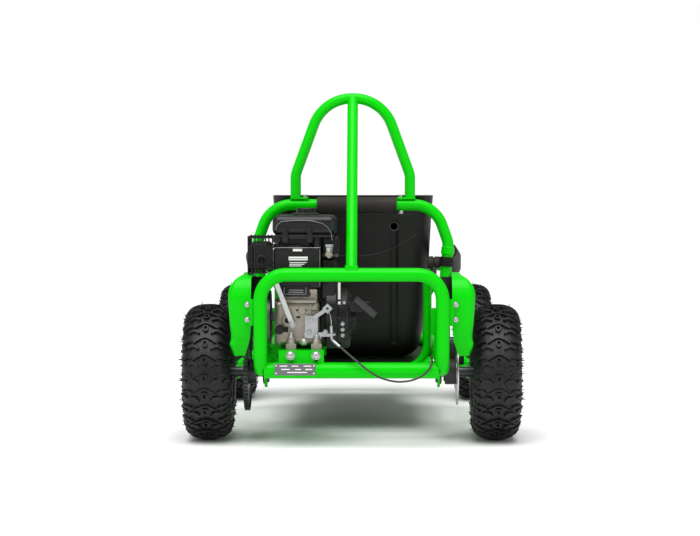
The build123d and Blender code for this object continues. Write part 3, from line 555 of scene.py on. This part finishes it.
def whiskerTree():
    # thin rubber hairs that stand on the surface
    tree, inlet, outlet = newTree("whiskers", [
        ("Density", "NodeSocketFloat", 2600.0), ("Length", "NodeSocketFloat", 0.0085),
        ("Tip Radius", "NodeSocketFloat", 0.0005), ("Root Radius", "NodeSocketFloat", 0.0011),
        ("Smallest", "NodeSocketFloat", 0.45), ("Seed", "NodeSocketInt", 3),
        ("Material", "NodeSocketMaterial", None)])
    made, link = tree.nodes, tree.links.new
    spread = made.new("GeometryNodeDistributePointsOnFaces")
    link(inlet.outputs["Geometry"], spread.inputs["Mesh"])
    link(inlet.outputs["Density"], spread.inputs["Density"])
    link(inlet.outputs["Seed"], spread.inputs["Seed"])
    hair = made.new("GeometryNodeMeshCone")
    hair.inputs["Vertices"].default_value = 4
    link(inlet.outputs["Tip Radius"], hair.inputs["Radius Top"])
    link(inlet.outputs["Root Radius"], hair.inputs["Radius Bottom"])
    link(inlet.outputs["Length"], hair.inputs["Depth"])
    size = made.new("FunctionNodeRandomValue")
    link(inlet.outputs["Smallest"], size.inputs[2])
    size.inputs[3].default_value = 1.0
    copies = made.new("GeometryNodeInstanceOnPoints")
    link(spread.outputs["Points"], copies.inputs["Points"])
    link(spread.outputs["Rotation"], copies.inputs["Rotation"])
    link(hair.outputs["Mesh"], copies.inputs["Instance"])
    link(size.outputs[1], copies.inputs["Scale"])
    real, join = made.new("GeometryNodeRealizeInstances"), made.new("GeometryNodeJoinGeometry")
    link(copies.outputs[0], real.inputs[0])
    link(inlet.outputs["Geometry"], join.inputs[0])
    link(real.outputs[0], join.inputs[0])
    paint = made.new("GeometryNodeSetMaterial")
    link(join.outputs[0], paint.inputs["Geometry"])
    link(inlet.outputs["Material"], paint.inputs["Material"])
    link(paint.outputs[0], outlet.inputs[0])
    return tree


repeatRound = repeatRoundTree()
whiskers = whiskerTree()


def runTree(mesh, tree, values):
    # applies a node tree to a mesh and gives back the plain mesh
    holder = bpy.data.objects.new("holder", mesh)
    scene.collection.objects.link(holder)
    modifier = holder.modifiers.new("nodes", "NODES")
    modifier.node_group = tree
    for name, value in values.items():
        modifier[socketId(tree, name)] = value
    graph = bpy.context.evaluated_depsgraph_get()
    made = bpy.data.meshes.new_from_object(holder.evaluated_get(graph))
    bpy.data.objects.remove(holder)
    return made


def carcassMesh(section):
    curve = section[0]
    wall, scale, count = tyre["wall"], tyre["innerScale"], tyre["rounds"]
    outer = [(-spot.x, spot.y) for spot in reversed(curve[1:])] + [(spot.x, spot.y) for spot in curve]
    inner = [(u * scale, r - wall if r > 100 else r) for u, r in reversed(outer)]
    bm = bmesh.new()
    rings = []
    for u, r in outer + inner:
        ring = []
        for k in range(count):
            angle = 2 * math.pi * k / count
            ring.append(bm.verts.new(vec(u, r * math.sin(angle), r * math.cos(angle))))
        rings.append(ring)
    skin(bm, rings + [rings[0]], False, False)
    return closeMesh(bm, "carcass")


def makeTyre(name, node, centre, widthScale, body, seed):
    section = smoothSection(widthScale)
    lugs = runTree(onePitch(section, widthScale), repeatRound,
                   {"Count": tyre["pitches"], "Material": tyreRubber})
    bm = bmesh.new()
    bm.from_mesh(carcassMesh(section))
    bm.from_mesh(lugs)
    both = bpy.data.meshes.new(name + "Bare")
    bm.to_mesh(both)
    bm.free()
    done = runTree(both, whiskers, {**tyre["whiskers"], "Seed": seed, "Material": tyreRubber})
    done.name = name
    done.transform(Matrix.Translation(centre))
    piece = showMesh(done, 35)
    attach(piece, body)
    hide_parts(node)


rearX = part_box("rear_tyres")[1].x - tyre["halfWidth"] * mm
for side, word in ((-1, "Left"), (1, "Right")):
    makeTyre("rearTyre" + word, "rear_tyres", Vector((side * rearX, rearAxle.y, rearAxle.z)), 1.0,
             "rear_axle", 3 + side)
    makeTyre("frontTyre" + word, "front_tyre_" + word.lower(),
             Vector((side * frontWheel.x, frontWheel.y, frontWheel.z)), tyre["frontScale"],
             "front_wheel_" + word.lower(), 7 + side)
print("tyres ready")


# Seat: a bucket whose section is carried along its outline, with grooves and seams pressed in

seat = {
    "outer": [(-312, 593), (-292, 500), (-262, 360), (-238, 250), (-212, 196), (-170, 178), (-60, 180),
              (60, 190), (100, 205), (110, 230)],
    "inner": [(-262, 593), (-236, 552), (-190, 480), (-128, 402), (-90, 360), (-60, 334), (-10, 304),
              (50, 280), (95, 264), (110, 262)],
    "halfWidths": [201, 197, 190, 182, 174, 168, 165, 162, 160, 160],
    "rows": 170, "across": 78, "corner": 46, "thickness": 4.5,
    "grooveX": 103, "grooveTop": 528, "grooveLow": 216, "grooveHalf": 8, "grooveDepth": 4,
    "bossZ": 516, "lineZ": 545, "seamLow": 440, "seamRise": 88, "seamHalf": 195,
}


def hill(distance, width):
    return math.exp(-(distance / width) ** 2)


def plateau(distance, width, edge=1.5):
    return 1 / (1 + math.exp((abs(distance) - width) / edge * 2))


def seamHeight(x):
    return seat["seamLow"] + seat["seamRise"] * (abs(x) / seat["seamHalf"]) ** 2.2


def seatRelief(x, z):
    # how far the back stands out, in millimetres
    side = abs(x) - seat["grooveX"]
    top, low = seat["grooveTop"], seat["grooveLow"]
    groove = plateau(side, seat["grooveHalf"]) * plateau(z - (top + low) / 2, (top - low) / 2, 3)
    fromBoss = math.hypot(side, z - seat["bossZ"])
    recess = plateau(fromBoss, 11)
    ring = hill(fromBoss - 13.5, 1.8)
    seam = hill(z - seamHeight(x), 1.8) * (z > 400)
    line = hill(z - seat["lineZ"], 1.6)
    dish = 3 * hill(x / 60, 1) * hill((z - 330) / 90, 1)
    return 1.3 * seam + 0.8 * line + 1.5 * ring - seat["grooveDepth"] * groove - 3 * recess - dish


def makeSeat():
    rows, across = seat["rows"], seat["across"]
    outer, inner = smoothCurve(seat["outer"], rows), smoothCurve(seat["inner"], rows)
    bm = bmesh.new()
    grid = []
    for base, rim, half in zip(outer, inner, smoothValues(seat["halfWidths"], rows)):
        reach = (rim - base).length
        toRim = (rim - base) / reach
        corner = min(seat["corner"], reach * 0.6)
        flat = half - corner
        wing = [(half, corner + (reach - corner) * (6 - k) / 6) for k in range(7)]
        for k in range(1, 8):
            angle = math.pi / 2 * (1 - k / 8)
            wing.append((flat + corner * math.sin(angle), corner * (1 - math.cos(angle))))
        middle = [(flat * (1 - 2 * k / across), 0) for k in range(across + 1)]
        mirrored = [(-x, depth) for x, depth in reversed(wing)]
        row = []
        for x, depth in wing + middle + mirrored:
            spot = base + toRim * depth
            push = seatRelief(x, spot.y) if base.y > 205 and depth < corner else 0
            row.append(bm.verts.new(vec(x, spot.x - push, spot.y)))
        grid.append(row)
    skin(bm, grid, False, False, closed=False)
    bmesh.ops.recalc_face_normals(bm, faces=bm.faces)
    bmesh.ops.solidify(bm, geom=list(bm.faces), thickness=seat["thickness"] * mm)
    makePiece("seatShell", bm, seatPlastic, smooth=50, replaces=("seat_shell",))


def makeRidgeHighlights():
    # Thin tubes along the seam, the line across the back and round the bosses, in a lighter grey that paints
    # the highlight these ridges catch
    outline = smoothCurve(seat["outer"], 240)[:170]

    def onBack(x, z):
        near = min(outline, key=lambda spot: abs(spot.y - z))
        return vec(x, near.x - 0.6, z)

    bm = bmesh.new()
    smile = []
    for k in range(61):
        x = -182 + 364 * k / 60
        curl = max(0, abs(x) - 150)
        smile.append(onBack(x, seamHeight(x)) + vec(0, 0.016 * curl ** 2, 0))
    addTube(bm, smile, 0.9 * mm, 6)
    addTube(bm, [onBack(-150 + 10 * k, seat["lineZ"] + 1) for k in range(31)], 0.7 * mm, 6)
    ring = [(0, 12.4), (4.4, 12.4), (5, 11.4), (5, 9.2), (0, 9)]
    for side in (-1, 1):
        addLathe(bm, onBack(side * seat["grooveX"], seat["bossZ"]) + vec(0, 4, 0), (0, -1, 0), ring)
    makePiece("seatRidgeHighlights", bm, ridgeHighlightGrey, smooth=50)


makeSeat()
makeRidgeHighlights()
print("seat ready")


# Rear guards: pressed strips with a rounded outer corner, a crease and a rolled lower lip

guard = {
    "path": [(-604, 214), (-622, 240), (-626, 262), (-632, 300), (-633, 366), (-616, 398), (-585, 409),
             (-520, 411), (-450, 400), (-402, 374)],
    "inner": [252, 244, 239, 236, 236, 236, 236, 236, 237, 238],
    "outer": [280, 287, 284, 287, 290, 281, 263, 262, 262, 260],
    "rows": 60, "steps": 14, "lip": 11, "thickness": 2.2,
    "plates": [((229, 240), (-641, -638), (291, 353)), ((236, 239), (-640, -565), (291, 353))],
    # black sheets inside and behind each guard, as (x, y, z) ranges: painted shade where the green guard is
    # unlit, standing for no part
    "shadeSheets": [((236, 238.5), (-606, -420), (330, 398)), ((212, 238), (-560, -556), (300, 402))],
}


def addSidePlates(bm, side, plates):
    # plates as (x, y, z) ranges of the right side, put on either side
    for across, along, up in plates:
        near, far = sorted((side * across[0], side * across[1]))
        addBlock(bm, vec(near, along[0], up[0]), vec(far, along[1], up[1]), mm)


def makeGuard(side, word):
    rows, steps = guard["rows"], guard["steps"]
    path = smoothCurve(guard["path"], rows)
    inner, outer = smoothValues(guard["inner"], rows), smoothValues(guard["outer"], rows)
    bm = bmesh.new()
    grid = []
    for k, spot in enumerate(path):
        ahead, behind = path[min(k + 1, rows - 1)], path[max(k - 1, 0)]
        run = (ahead - behind).normalized()
        inward = Vector((run.y, -run.x))
        wide = outer[k] - inner[k]
        crease = 2.6 * hill(k - 25, 1.3) - 4.5 * plateau(k - 3, 9, 1.2)
        row = []
        for step in range(steps + 1):
            share = step / steps
            drop = guard["lip"] * max(0, (share - 0.72) / 0.28) ** 2.4
            place = spot + inward * (drop - crease * (1 - share ** 6))
            row.append(bm.verts.new(vec(side * (inner[k] + wide * share), place.x, place.y)))
        grid.append(row)
    skin(bm, grid, False, False, closed=False)
    bmesh.ops.recalc_face_normals(bm, faces=bm.faces)
    bmesh.ops.solidify(bm, geom=list(bm.faces), thickness=guard["thickness"] * mm)
    addSidePlates(bm, side, guard["plates"])
    makePiece("mudguard" + word, bm, greenCoat, smooth=40, replaces=("mudguard_" + word.lower(),))
    # Black sheets of painted shade on the guard's inner side and behind it
    shadeSheets = bmesh.new()
    addSidePlates(shadeSheets, side, guard["shadeSheets"])
    makePiece("guardInnerShade" + word, shadeSheets, cageBlackAndShade, smooth=40)


for side, word in ((-1, "Left"), (1, "Right")):
    makeGuard(side, word)
print("guards ready")


# Muffler cage: pressed ribs with slots, round an outlet boss

cage = {
    "low": (-246, -598, 411), "high": (-184, -446, 497), "bar": 3.0, "soft": 0.8, "rails": (424, 434, 474),
    "pitch": 8.2, "sideStart": 12, "sidePitch": 14, "panel": (-231, 424, 474), "hole": (-213, 442),
    "holeRadius": 9,
}


def makeCage():
    bm = bmesh.new()
    (x0, y0, z0), (x1, y1, z1) = cage["low"], cage["high"]
    bar, soft = cage["bar"], cage["soft"] * mm
    for z in (z0, *cage["rails"], z1 - bar):
        addBlock(bm, vec(x0, y0, z), vec(x1, y0 + bar, z + bar), soft)
        addBlock(bm, vec(x0, y1 - bar, z), vec(x1, y1, z + bar), soft)
        addBlock(bm, vec(x0, y0, z), vec(x0 + bar, y1, z + bar), soft)
    x = x0
    while x < x1 - 1:
        addBlock(bm, vec(x, y0 - 1, z0), vec(x + bar, y0 + bar, z1 + 3), soft)
        addBlock(bm, vec(x, y0, z1 - bar), vec(x + bar, y1, z1 + 2), soft)
        addBlock(bm, vec(x, y0, z0), vec(x + bar, y1, z0 + bar), soft)
        x += cage["pitch"]
    y = y0 + cage["sideStart"]
    while y < y1 - 4:
        addBlock(bm, vec(x0, y, z0), vec(x0 + bar, y + bar, z1 + 2), soft)
        y += cage["sidePitch"]
    px, pz0, pz1 = cage["panel"]
    hx, hz = cage["hole"]
    radius = cage["holeRadius"]
    for left, right, low, high in ((px, hx - radius, pz0, pz1), (hx + radius, x1 - 4, pz0, pz1),
                                   (hx - radius - 1, hx + radius + 1, hz + radius, pz1),
                                   (hx - radius - 1, hx + radius + 1, pz0, hz - radius)):
        addBlock(bm, vec(left, y0 + 1, low), vec(right, y0 + 4, high), soft)
    ring = [(0, radius + 4), (7, radius + 4), (8, radius + 2.5), (8, radius), (1, radius - 0.5),
            (0, radius - 0.5), (0, radius + 4)]
    addLathe(bm, vec(hx, y0 + 5, hz), (0, -1, 0), ring, 28, caps=False)
    makePiece("mufflerGuard", bm, cageBlackAndShade, smooth=35, replaces=("muffler_guard",))


makeCage()
print("cage ready")


# Engine castings: bosses, ribs, slots and studs that stand on the crankcase

case = {
    "rear": -592, "left": -182, "crank": (-490, 302), "footX": (-143, -83), "footY": -604,
    "bossZ": [262, 288, 318, 338], "boss": [(0, 8), (16, 7.5), (24, 6), (25, 4)],
    "ribs": [((-150, -597, 268), (-146, -584, 336), 1.5), ((-100, -597, 300), (-96, -584, 340), 1.5),
             ((-88, -597, 262), (-84, -584, 300), 1.5), ((-168, -596, 341), (-84, -584, 350), 2.5),
             ((-172, -595, 366), (-82, -582, 374), 2), ((-140, -599, 249), (-88, -586, 258), 2)],
    # dark patches on the crankcase's rear face, as (x, z) corners: painted shade in its recesses
    "recessShade": [((-132, 322), (-106, 326)), ((-131, 305), (-122, 310)), ((-100, 322), (-84, 324)),
                 ((-160, 272), (-148, 284))],
}


def makeCastings():
    bm = bmesh.new()
    rear, left = case["rear"], case["left"]
    for z in case["bossZ"]:
        addLathe(bm, vec(left + 26, rear + 16, z), (-1, 0, 0), case["boss"], 20)
    addLathe(bm, vec(left + 30, rear + 2, 300), (0, -1, 0), [(0, 15), (6, 14), (7, 12), (7, 7), (3, 6.5)], 28)
    addLathe(bm, vec(-118, rear + 2, 322), (0, -1, 0), [(0, 10), (4, 9.5), (5, 8)], 24)
    addTable(bm, case["ribs"])
    for x in case["footX"]:
        addLathe(bm, vec(x, case["footY"], 232.5), (0, 0, 1), [(0, 12), (20, 11), (24, 9)], 24)
        addBlock(bm, vec(x - 9, -606, 233), vec(x + 9, -590, 262), 2 * mm)
    addLathe(bm, vec(-113, -600, 250), (0, -1, 0), [(0, 9), (8, 9), (9, 7)], 24)
    makePiece("crankcaseBosses", bm, castMetal, smooth=32)


def makeCastingShade():
    # Thin black blocks on the crankcase's rear face and a black disc over a boss's hole: painted shade, not
    # parts
    bm = bmesh.new()
    rear = case["rear"]
    for low, high in case["recessShade"]:
        addBlock(bm, vec(low[0], rear - 1.2, low[1]), vec(high[0], rear + 1, high[1]), 0.5 * mm)
    addLathe(bm, vec(-152, rear - 5.2, 300), (0, -1, 0), [(0, 6), (0.6, 5.5)], 20)
    makePiece("castingShadows", bm, cageBlackAndShade, smooth=32)


def makeStuds():
    bm = bmesh.new()
    dome = [(0, 10.5), (1.2, 10.5), (1.4, 9), (4, 8.6), (6.5, 6), (7.4, 2)]
    button = [(0, 7.2), (1, 7.2), (3.2, 5.6), (4.2, 3), (3.4, 2.9), (3.2, 0.5)]
    for x in case["footX"]:
        addHex(bm, vec(x, case["footY"], 258), (0, 0, 1), 11, 6, washer=9)
        addLathe(bm, vec(x, case["footY"], 264), (0, 0, 1), [(0, 3.4), (8, 3.4), (9, 2.6)], 14)
        addLathe(bm, vec(x, -642.5, 221), (0, -1, 0), dome, 24)
    addLathe(bm, vec(-113, -608, 250), (0, -1, 0), [(0, 6.5), (3, 6.2), (5, 3.5)], 20)
    addHex(bm, vec(-140, -599, 291), (0, -1, 0), 12, 6, washer=8.5)
    for x in (-100, -62):
        addHex(bm, vec(x, -602.5, 273), (0, -1, 0), 8, 4, washer=6)
    addHex(bm, vec(-96, -608, 302), (0, -1, 0), 9, 4, washer=7)
    for x in (-244, 244):
        for z in (305, 340):
            addLathe(bm, vec(x, -639, z), (0, -1, 0), button, 22)
    makePiece("studsAndNuts", bm, zinc, smooth=32)


# Covers: tank with straps and brackets, shroud, air cleaner and blower, each with its own detail

covers = {
    "blocks": [((-164, -597, 484), (-150, -560, 520), 2.5), ((-161, -600, 488), (-153, -590, 516), 1.5),
               ((-106, -597, 484), (-92, -560, 520), 2.5), ((-103, -600, 488), (-95, -590, 516), 1.5),
               ((-150, -595, 492), (-104, -580, 502), 3), ((-182, -594, 496), (-40, -390, 503), 2.5),
               ((-88, -590, 462), (-76, -570, 500), 2), ((-186, -586, 472), (-120, -560, 478), 1.5),
               ((-167, -596, 356), (-98, -585, 386), 3), ((-161, -598, 361), (-106, -594, 378), 1.5)],
    "slots": 9, "slotLow": 384, "slotPitch": 5,
    "arch": [(-180, 514), (-176, 526), (-166, 534), (-130, 537), (-96, 536), (-70, 530), (-56, 520),
             (-48, 505), (-46, 490)],
}


def makeCovers():
    bm = bmesh.new()
    addTable(bm, covers["blocks"])
    addLathe(bm, vec(-178, -596, 491), (0, -1, 0), [(0, 9), (4, 9), (5, 7)], 24)
    addLathe(bm, vec(-112, -520, 546), (0, 0, 1), [(0, 34), (5, 33), (7, 30), (8, 22)], 40)
    for k in range(covers["slots"]):
        z = covers["slotLow"] + covers["slotPitch"] * k
        addBlock(bm, vec(-74.5, -562, z), vec(-38, -559, z + 2), 0.6 * mm)
    makePiece("engineCoverDetail", bm, engineBlack, smooth=35)


def makeShroudEdgeLines():
    # Thin pale lines along the shroud's side and top edges and along the tank's outline
    bm = bmesh.new()
    for x in (-185.5, -75.5):
        addLathe(bm, vec(x, -592.5, 380), (0, 0, 1), [(0, 1.4), (88, 1.4)], 10)
    addLathe(bm, vec(-186, -593, 472), (1, 0, 0), [(0, 1.4), (112, 1.4)], 10)
    addTube(bm, [vec(x, -594, z) for x, z in covers["arch"]], 1.0 * mm, 8)
    makePiece("paleEdgeLines", bm, plateMetalAndHighlight, smooth=40)


def addLines(bm, rear, front, bevel, lines):
    # flat bars as (x, x, z, z), between two depths
    for x0, x1, z0, z1 in lines:
        addBlock(bm, vec(x0, rear, z0), vec(x1, front, z1), bevel * mm)


def makeLabels():
    # blank labels with plain bars, no lettering
    white = bmesh.new()
    face = -592.6
    addLines(white, face - 0.4, face + 0.2, 0.2, [(-139, -117, 463.5, 469.5), (-149, -104, 442, 451)])
    addLines(white, face - 0.3, face + 0.2, 0.1, [(-147, -106 - 6 * k, 436 - 4 * k, 438 - 4 * k)
                                                  for k in range(3)])
    addLines(white, -561, -559, 0.2, [(-33, -27, 348, 388), (-33, -27, 336, 343)])
    makePiece("whiteLabels", white, labelWhite, smooth=30)
    grey = bmesh.new()
    addLines(grey, face - 0.6, face, 0.1, [(-147, -106, 446, 447.2)])
    addLines(grey, -598.4, -597.6, 0.1, [(-150, -114, 366, 368), (-148, -114, 371, 373)])
    addLines(grey, -598.3, -597.6, 0.1, [(-160, -158.5, 361.5, 378), (-108.5, -107, 361.5, 378),
                                         (-160, -107, 361.5, 363)])
    makePiece("greyLabelLines", grey, labelGrey, smooth=30)


def makePlateDetail():
    bm = bmesh.new()
    for x in (-176, -88):
        for z in (180, 198):
            addLathe(bm, vec(x, -653, z), (0, -1, 0), [(0, 1.9), (0.7, 1.8), (1.2, 1)], 14)
    bars = [(-168, -150, 196), (-140, -124, 196), (-112, -94, 196), (-164, -144, 188),
            (-132, -118, 188), (-108, -92, 188), (-150, -104, 181)]
    addLines(bm, -653.4, -652.8, 0.15, [(x0, x1, z, z + 2.4) for x0, x1, z in bars])
    makePiece("plateRivets", bm, labelWhite, smooth=30)


# Blower and starter side: fan cover bosses, screws, and the handle's ribbed face

starter = {"holes": 10, "holeReach": 52, "lugs": 6, "lugReach": 79, "handle": (32, -576, 330),
           "handleLean": 40, "ribs": 15, "ribPitch": 3.9}


def roundCrank(x, reach, angle):
    crankY, crankZ = case["crank"]
    return vec(x, crankY + reach * math.cos(angle), crankZ + reach * math.sin(angle))


def makeStarterSide():
    bm = bmesh.new()
    for k in range(starter["holes"]):
        spot = roundCrank(-6, starter["holeReach"], 2 * math.pi * k / starter["holes"])
        addLathe(bm, spot, (1, 0, 0), [(0, 7), (3.4, 6.6), (4, 5.4)], 16)
    for k in range(starter["lugs"]):
        spot = roundCrank(-34, starter["lugReach"], 2 * math.pi * k / starter["lugs"])
        addLathe(bm, spot, (1, 0, 0), [(0, 6), (6, 5.6), (7, 4.5)], 16)
    makePiece("starterCoverDetail", bm, engineBlack, smooth=35)
    bright = bmesh.new()
    for z, y in ((290, -566), (262, -556), (276, -562)):
        addHex(bright, vec(-22, y, z), (0, -1, 0), 7, 3.5, washer=5)
    addLathe(bright, vec(-18, -560, 340), (0, -1, 0), [(0, 4), (3, 3.6), (4, 2)], 16)
    spout = [(-6, 11), (0, 11), (2, 9), (10, 8.2), (20, 5.5), (26, 5)]
    addLathe(bright, vec(-54, -586, 474), (0, 0, -1), spout, 24)
    makePiece("starterScrews", bright, zinc, smooth=35)


def makeHandleFace():
    # Ribs round the black handle, coloured pale grey metal as a painted highlight
    lean = math.radians(starter["handleLean"])
    along = Vector((math.cos(lean), 0, -math.sin(lean)))
    bm = bmesh.new()
    for k in range(starter["ribs"]):
        spot = Vector(starter["handle"]) + along * (-27 + k * starter["ribPitch"] - 0.7)
        addLathe(bm, spot * mm, along, [(0, 8.4), (0.3, 9.3), (1.0, 9.3), (1.3, 8.4)], 20)
    makePiece("handleRibHighlights", bm, plateMetalAndHighlight, body="starter_handle", smooth=40)


makeCastings()
makeCastingShade()
makeStuds()
makeCovers()
makeShroudEdgeLines()
makeLabels()
makePlateDetail()
makeStarterSide()
makeHandleFace()
print("engine ready")


# Chain: plates and rollers repeated round the loop that the sprocket and the pinion set

chain = {"x": -255, "pitch": 9.525, "bigRadius": 91.0, "smallRadius": 18.4, "roller": 3.1, "rollerWidth": 5.2,
         "pin": 1.8, "pinLength": 12.4, "plateThick": 1.1, "plateHigh": 7.4, "plateEnds": 6.2,
         "outerPlate": 4.9, "innerPlate": 3.5}


def chainPath():
    # link ends round the sprocket and the pinion, evenly spaced
    big, small = Vector((rearAxle.y / mm, rearAxle.z / mm)), Vector(case["crank"])
    bigRadius, smallRadius = chain["bigRadius"], chain["smallRadius"]
    lean = math.atan2(small.y - big.y, small.x - big.x)
    touch = math.acos((bigRadius - smallRadius) / (small - big).length)
    points = []
    for centre, radius, start, stop in ((big, bigRadius, lean + touch, lean + 2 * math.pi - touch),
                                        (small, smallRadius, lean - touch, lean + touch)):
        steps = max(4, int(abs(stop - start) * radius / 3))
        for k in range(steps + 1):
            angle = start + (stop - start) * k / steps
            points.append(centre + Vector((math.cos(angle), math.sin(angle))) * radius)
    points.append(points[0])
    gaps = [(b - a).length for a, b in zip(points, points[1:])]
    count = round(sum(gaps) / chain["pitch"])
    step = sum(gaps) / count
    made, walked, k = [], 0.0, 0
    for n in range(count):
        while walked + gaps[k] < n * step:
            walked += gaps[k]
            k += 1
        made.append(points[k].lerp(points[k + 1], (n * step - walked) / gaps[k]))
    return made


def makeChain():
    bm = bmesh.new()
    spots = [vec(chain["x"], spot.x, spot.y) for spot in chainPath()]
    pin, roller = chain["pinLength"], chain["rollerWidth"]
    for k, (here, there) in enumerate(zip(spots, spots[1:] + spots[:1])):
        addLathe(bm, here - vec(pin / 2, 0, 0), (1, 0, 0), [(0, chain["pin"]), (pin, chain["pin"])], 10)
        addLathe(bm, here - vec(roller / 2, 0, 0), (1, 0, 0),
                 [(0, chain["roller"]), (roller, chain["roller"])], 12)
        along = there - here
        turn = Matrix.Rotation(math.atan2(along.z, along.y), 4, "X")
        length = along.length / mm + chain["plateEnds"]
        size = Matrix.Diagonal((*vec(chain["plateThick"], length, chain["plateHigh"]), 1))
        outward = chain["outerPlate"] if k % 2 else chain["innerPlate"]
        for side in (-1, 1):
            place = Matrix.Translation((here + there) / 2 + vec(side * outward, 0, 0))
            made = bmesh.ops.create_cube(bm, size=1)
            bmesh.ops.transform(bm, matrix=place @ turn @ size, verts=made["verts"])
    makePiece("driveChain", bm, darkSteel, smooth=40, replaces=("drive_chain",))


discHub = {"start": 225.4, "length": 27, "radius": 30.7, "bore": 20, "bolts": 5, "boltCircle": 20}


def makeDiscHub():
    bm = bmesh.new()
    y, z = rearAxle.y / mm, rearAxle.z / mm
    radius, length = discHub["radius"], discHub["length"]
    addLathe(bm, vec(discHub["start"], y, z), (1, 0, 0),
             [(0, discHub["bore"]), (0, radius), (length, radius), (length + 0.6, radius - 1)], 40)
    for k in range(discHub["bolts"]):
        angle = 2 * math.pi * k / discHub["bolts"]
        reach = discHub["boltCircle"]
        spot = vec(discHub["start"] + 0.6, y + reach * math.cos(angle), z + reach * math.sin(angle))
        addHex(bm, spot, (-1, 0, 0), 8, 4)
    makePiece("discHub", bm, bearingCast, body="rear_axle", smooth=35)


makeChain()
makeDiscHub()
print("chain ready")


# Small lines: the governor wire and the starter rope, each a tube between two end points

lines = {"wire": ((-57, -609, 327), (-47.5, -634, 291)), "wireBow": 3, "wireRadius": 1.0,
         "rope": ((32, -550, 330), (32, -566, 330)), "ropeRadius": 2.2}


def stretch(name, points, radius, count, material):
    bm = bmesh.new()
    addTube(bm, points, radius * mm, count)
    mesh = closeMesh(bm, name)
    mesh.materials.append(material)
    mesh.shade_smooth()
    piece = bpy.data.objects.new(name, mesh)
    scene.collection.objects.link(piece)
    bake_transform(piece)


def makeWire():
    ends = [vec(*end) for end in lines["wire"]]
    points = [ends[0].lerp(ends[1], k / 12) + vec(lines["wireBow"] * math.sin(math.pi * k / 12), 0, 0)
              for k in range(13)]
    stretch("throttleWire", points, lines["wireRadius"], 8, zinc)


def makeRope():
    ends = [vec(*end) for end in lines["rope"]]
    points = [ends[0].lerp(ends[1], k / 48) for k in range(49)]
    stretch("starterRope", points, lines["ropeRadius"], 12, rubberBlack)


makeWire()
makeRope()
print("wire and rope ready")


# Covers on the hoop legs and beside the seat

fittings = {"legX": 213, "legY": -332, "legLean": 25 / 285, "legFoot": 190, "strapLow": 418, "strapRings": 5,
            "ringPitch": 4.6, "collarLow": 446}


def legSpot(side, z):
    x = fittings["legX"] + fittings["legLean"] * (z - fittings["legFoot"])
    return vec(side * x, fittings["legY"], z)


def legAxis(side):
    return Vector((side * fittings["legLean"], 0, 1)).normalized()


def makeStraps():
    bm = bmesh.new()
    profile = [(-2, 14.2)]
    for k in range(fittings["strapRings"]):
        start = k * fittings["ringPitch"]
        profile += [(start - 1, 17), (start, 18.4), (start + 2.4, 18.4), (start + 3, 16.6)]
    profile.append((23, 14.2))
    for side in (-1, 1):
        addLathe(bm, legSpot(side, fittings["strapLow"]), legAxis(side), profile, 36)
    makePiece("hoopStraps", bm, rubberBlack, smooth=40, replaces=("hoop_straps",))


def makeBuffers():
    sleeves, collars = bmesh.new(), bmesh.new()
    sleeve = [(0, 12), (2, 15), (14, 16), (16, 12), (17, 12), (18, 15), (30, 15), (33, 11)]
    for side in (-1, 1):
        out = (side, 0, 0)
        addLathe(sleeves, vec(side * 186, -318, 426), out, sleeve, 28)
        addLathe(sleeves, vec(side * 192, -322, 398), out, [(0, 8), (3, 13), (14, 13), (17, 8)], 24)
        addLathe(collars, legSpot(side, fittings["collarLow"]), legAxis(side),
                 [(0, 14), (1, 16.2), (18, 16.2), (20, 14)])
        addLathe(collars, vec(side * 204, -318, 426), out, [(0, 11), (16, 11)], 24)
    makePiece("seatBuffers", sleeves, foamSkin, smooth=40)
    makePiece("legCollars", collars, greenCoat, smooth=40)


def makePanRearStrip():
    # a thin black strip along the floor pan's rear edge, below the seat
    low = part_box("floor_pan")[0] / mm
    bm = bmesh.new()
    addBlock(bm, vec(-196, low.y, low.z - 14), vec(196, low.y + 2, low.z + 1), 0.6 * mm)
    makePiece("panRearStrip", bm, blackCoat, smooth=35)


makeStraps()
makeBuffers()
makePanRearStrip()
print("fittings ready")


# Throttle cable: one smooth line along the route that its solid follows

cable = {
    "points": [(-27.5, -640, 242), (0, -651, 219), (26, -660, 198), (45, -664, 183), (67, -665, 171),
               (90, -665, 164), (114, -665, 161), (144, -664, 165), (168, -662, 176), (183, -660, 191),
               (188, -650, 208), (187, -632, 219), (188, -613, 216), (190, -598, 206)],
    "diameter": 5.0, "length": 324.0,
}


def makeCable():
    data = bpy.data.curves.new("throttleCable", "CURVE")
    data.dimensions = "3D"
    data.bevel_depth = cable["diameter"] / 2 * mm
    data.bevel_resolution = 4
    data.use_fill_caps = True
    spline = data.splines.new("NURBS")
    spline.points.add(len(cable["points"]) - 1)
    for point, place in zip(spline.points, cable["points"]):
        point.co = (*vec(*place), 1)
    spline.order_u = 3
    spline.use_endpoint_u = True
    spline.resolution_u = 8
    data.materials.append(cableBlack)
    piece = bpy.data.objects.new("throttleCable", data)
    scene.collection.objects.link(piece)
    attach(piece, "chassis")
    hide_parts("throttle_cable")


makeCable()
print("cable ready")
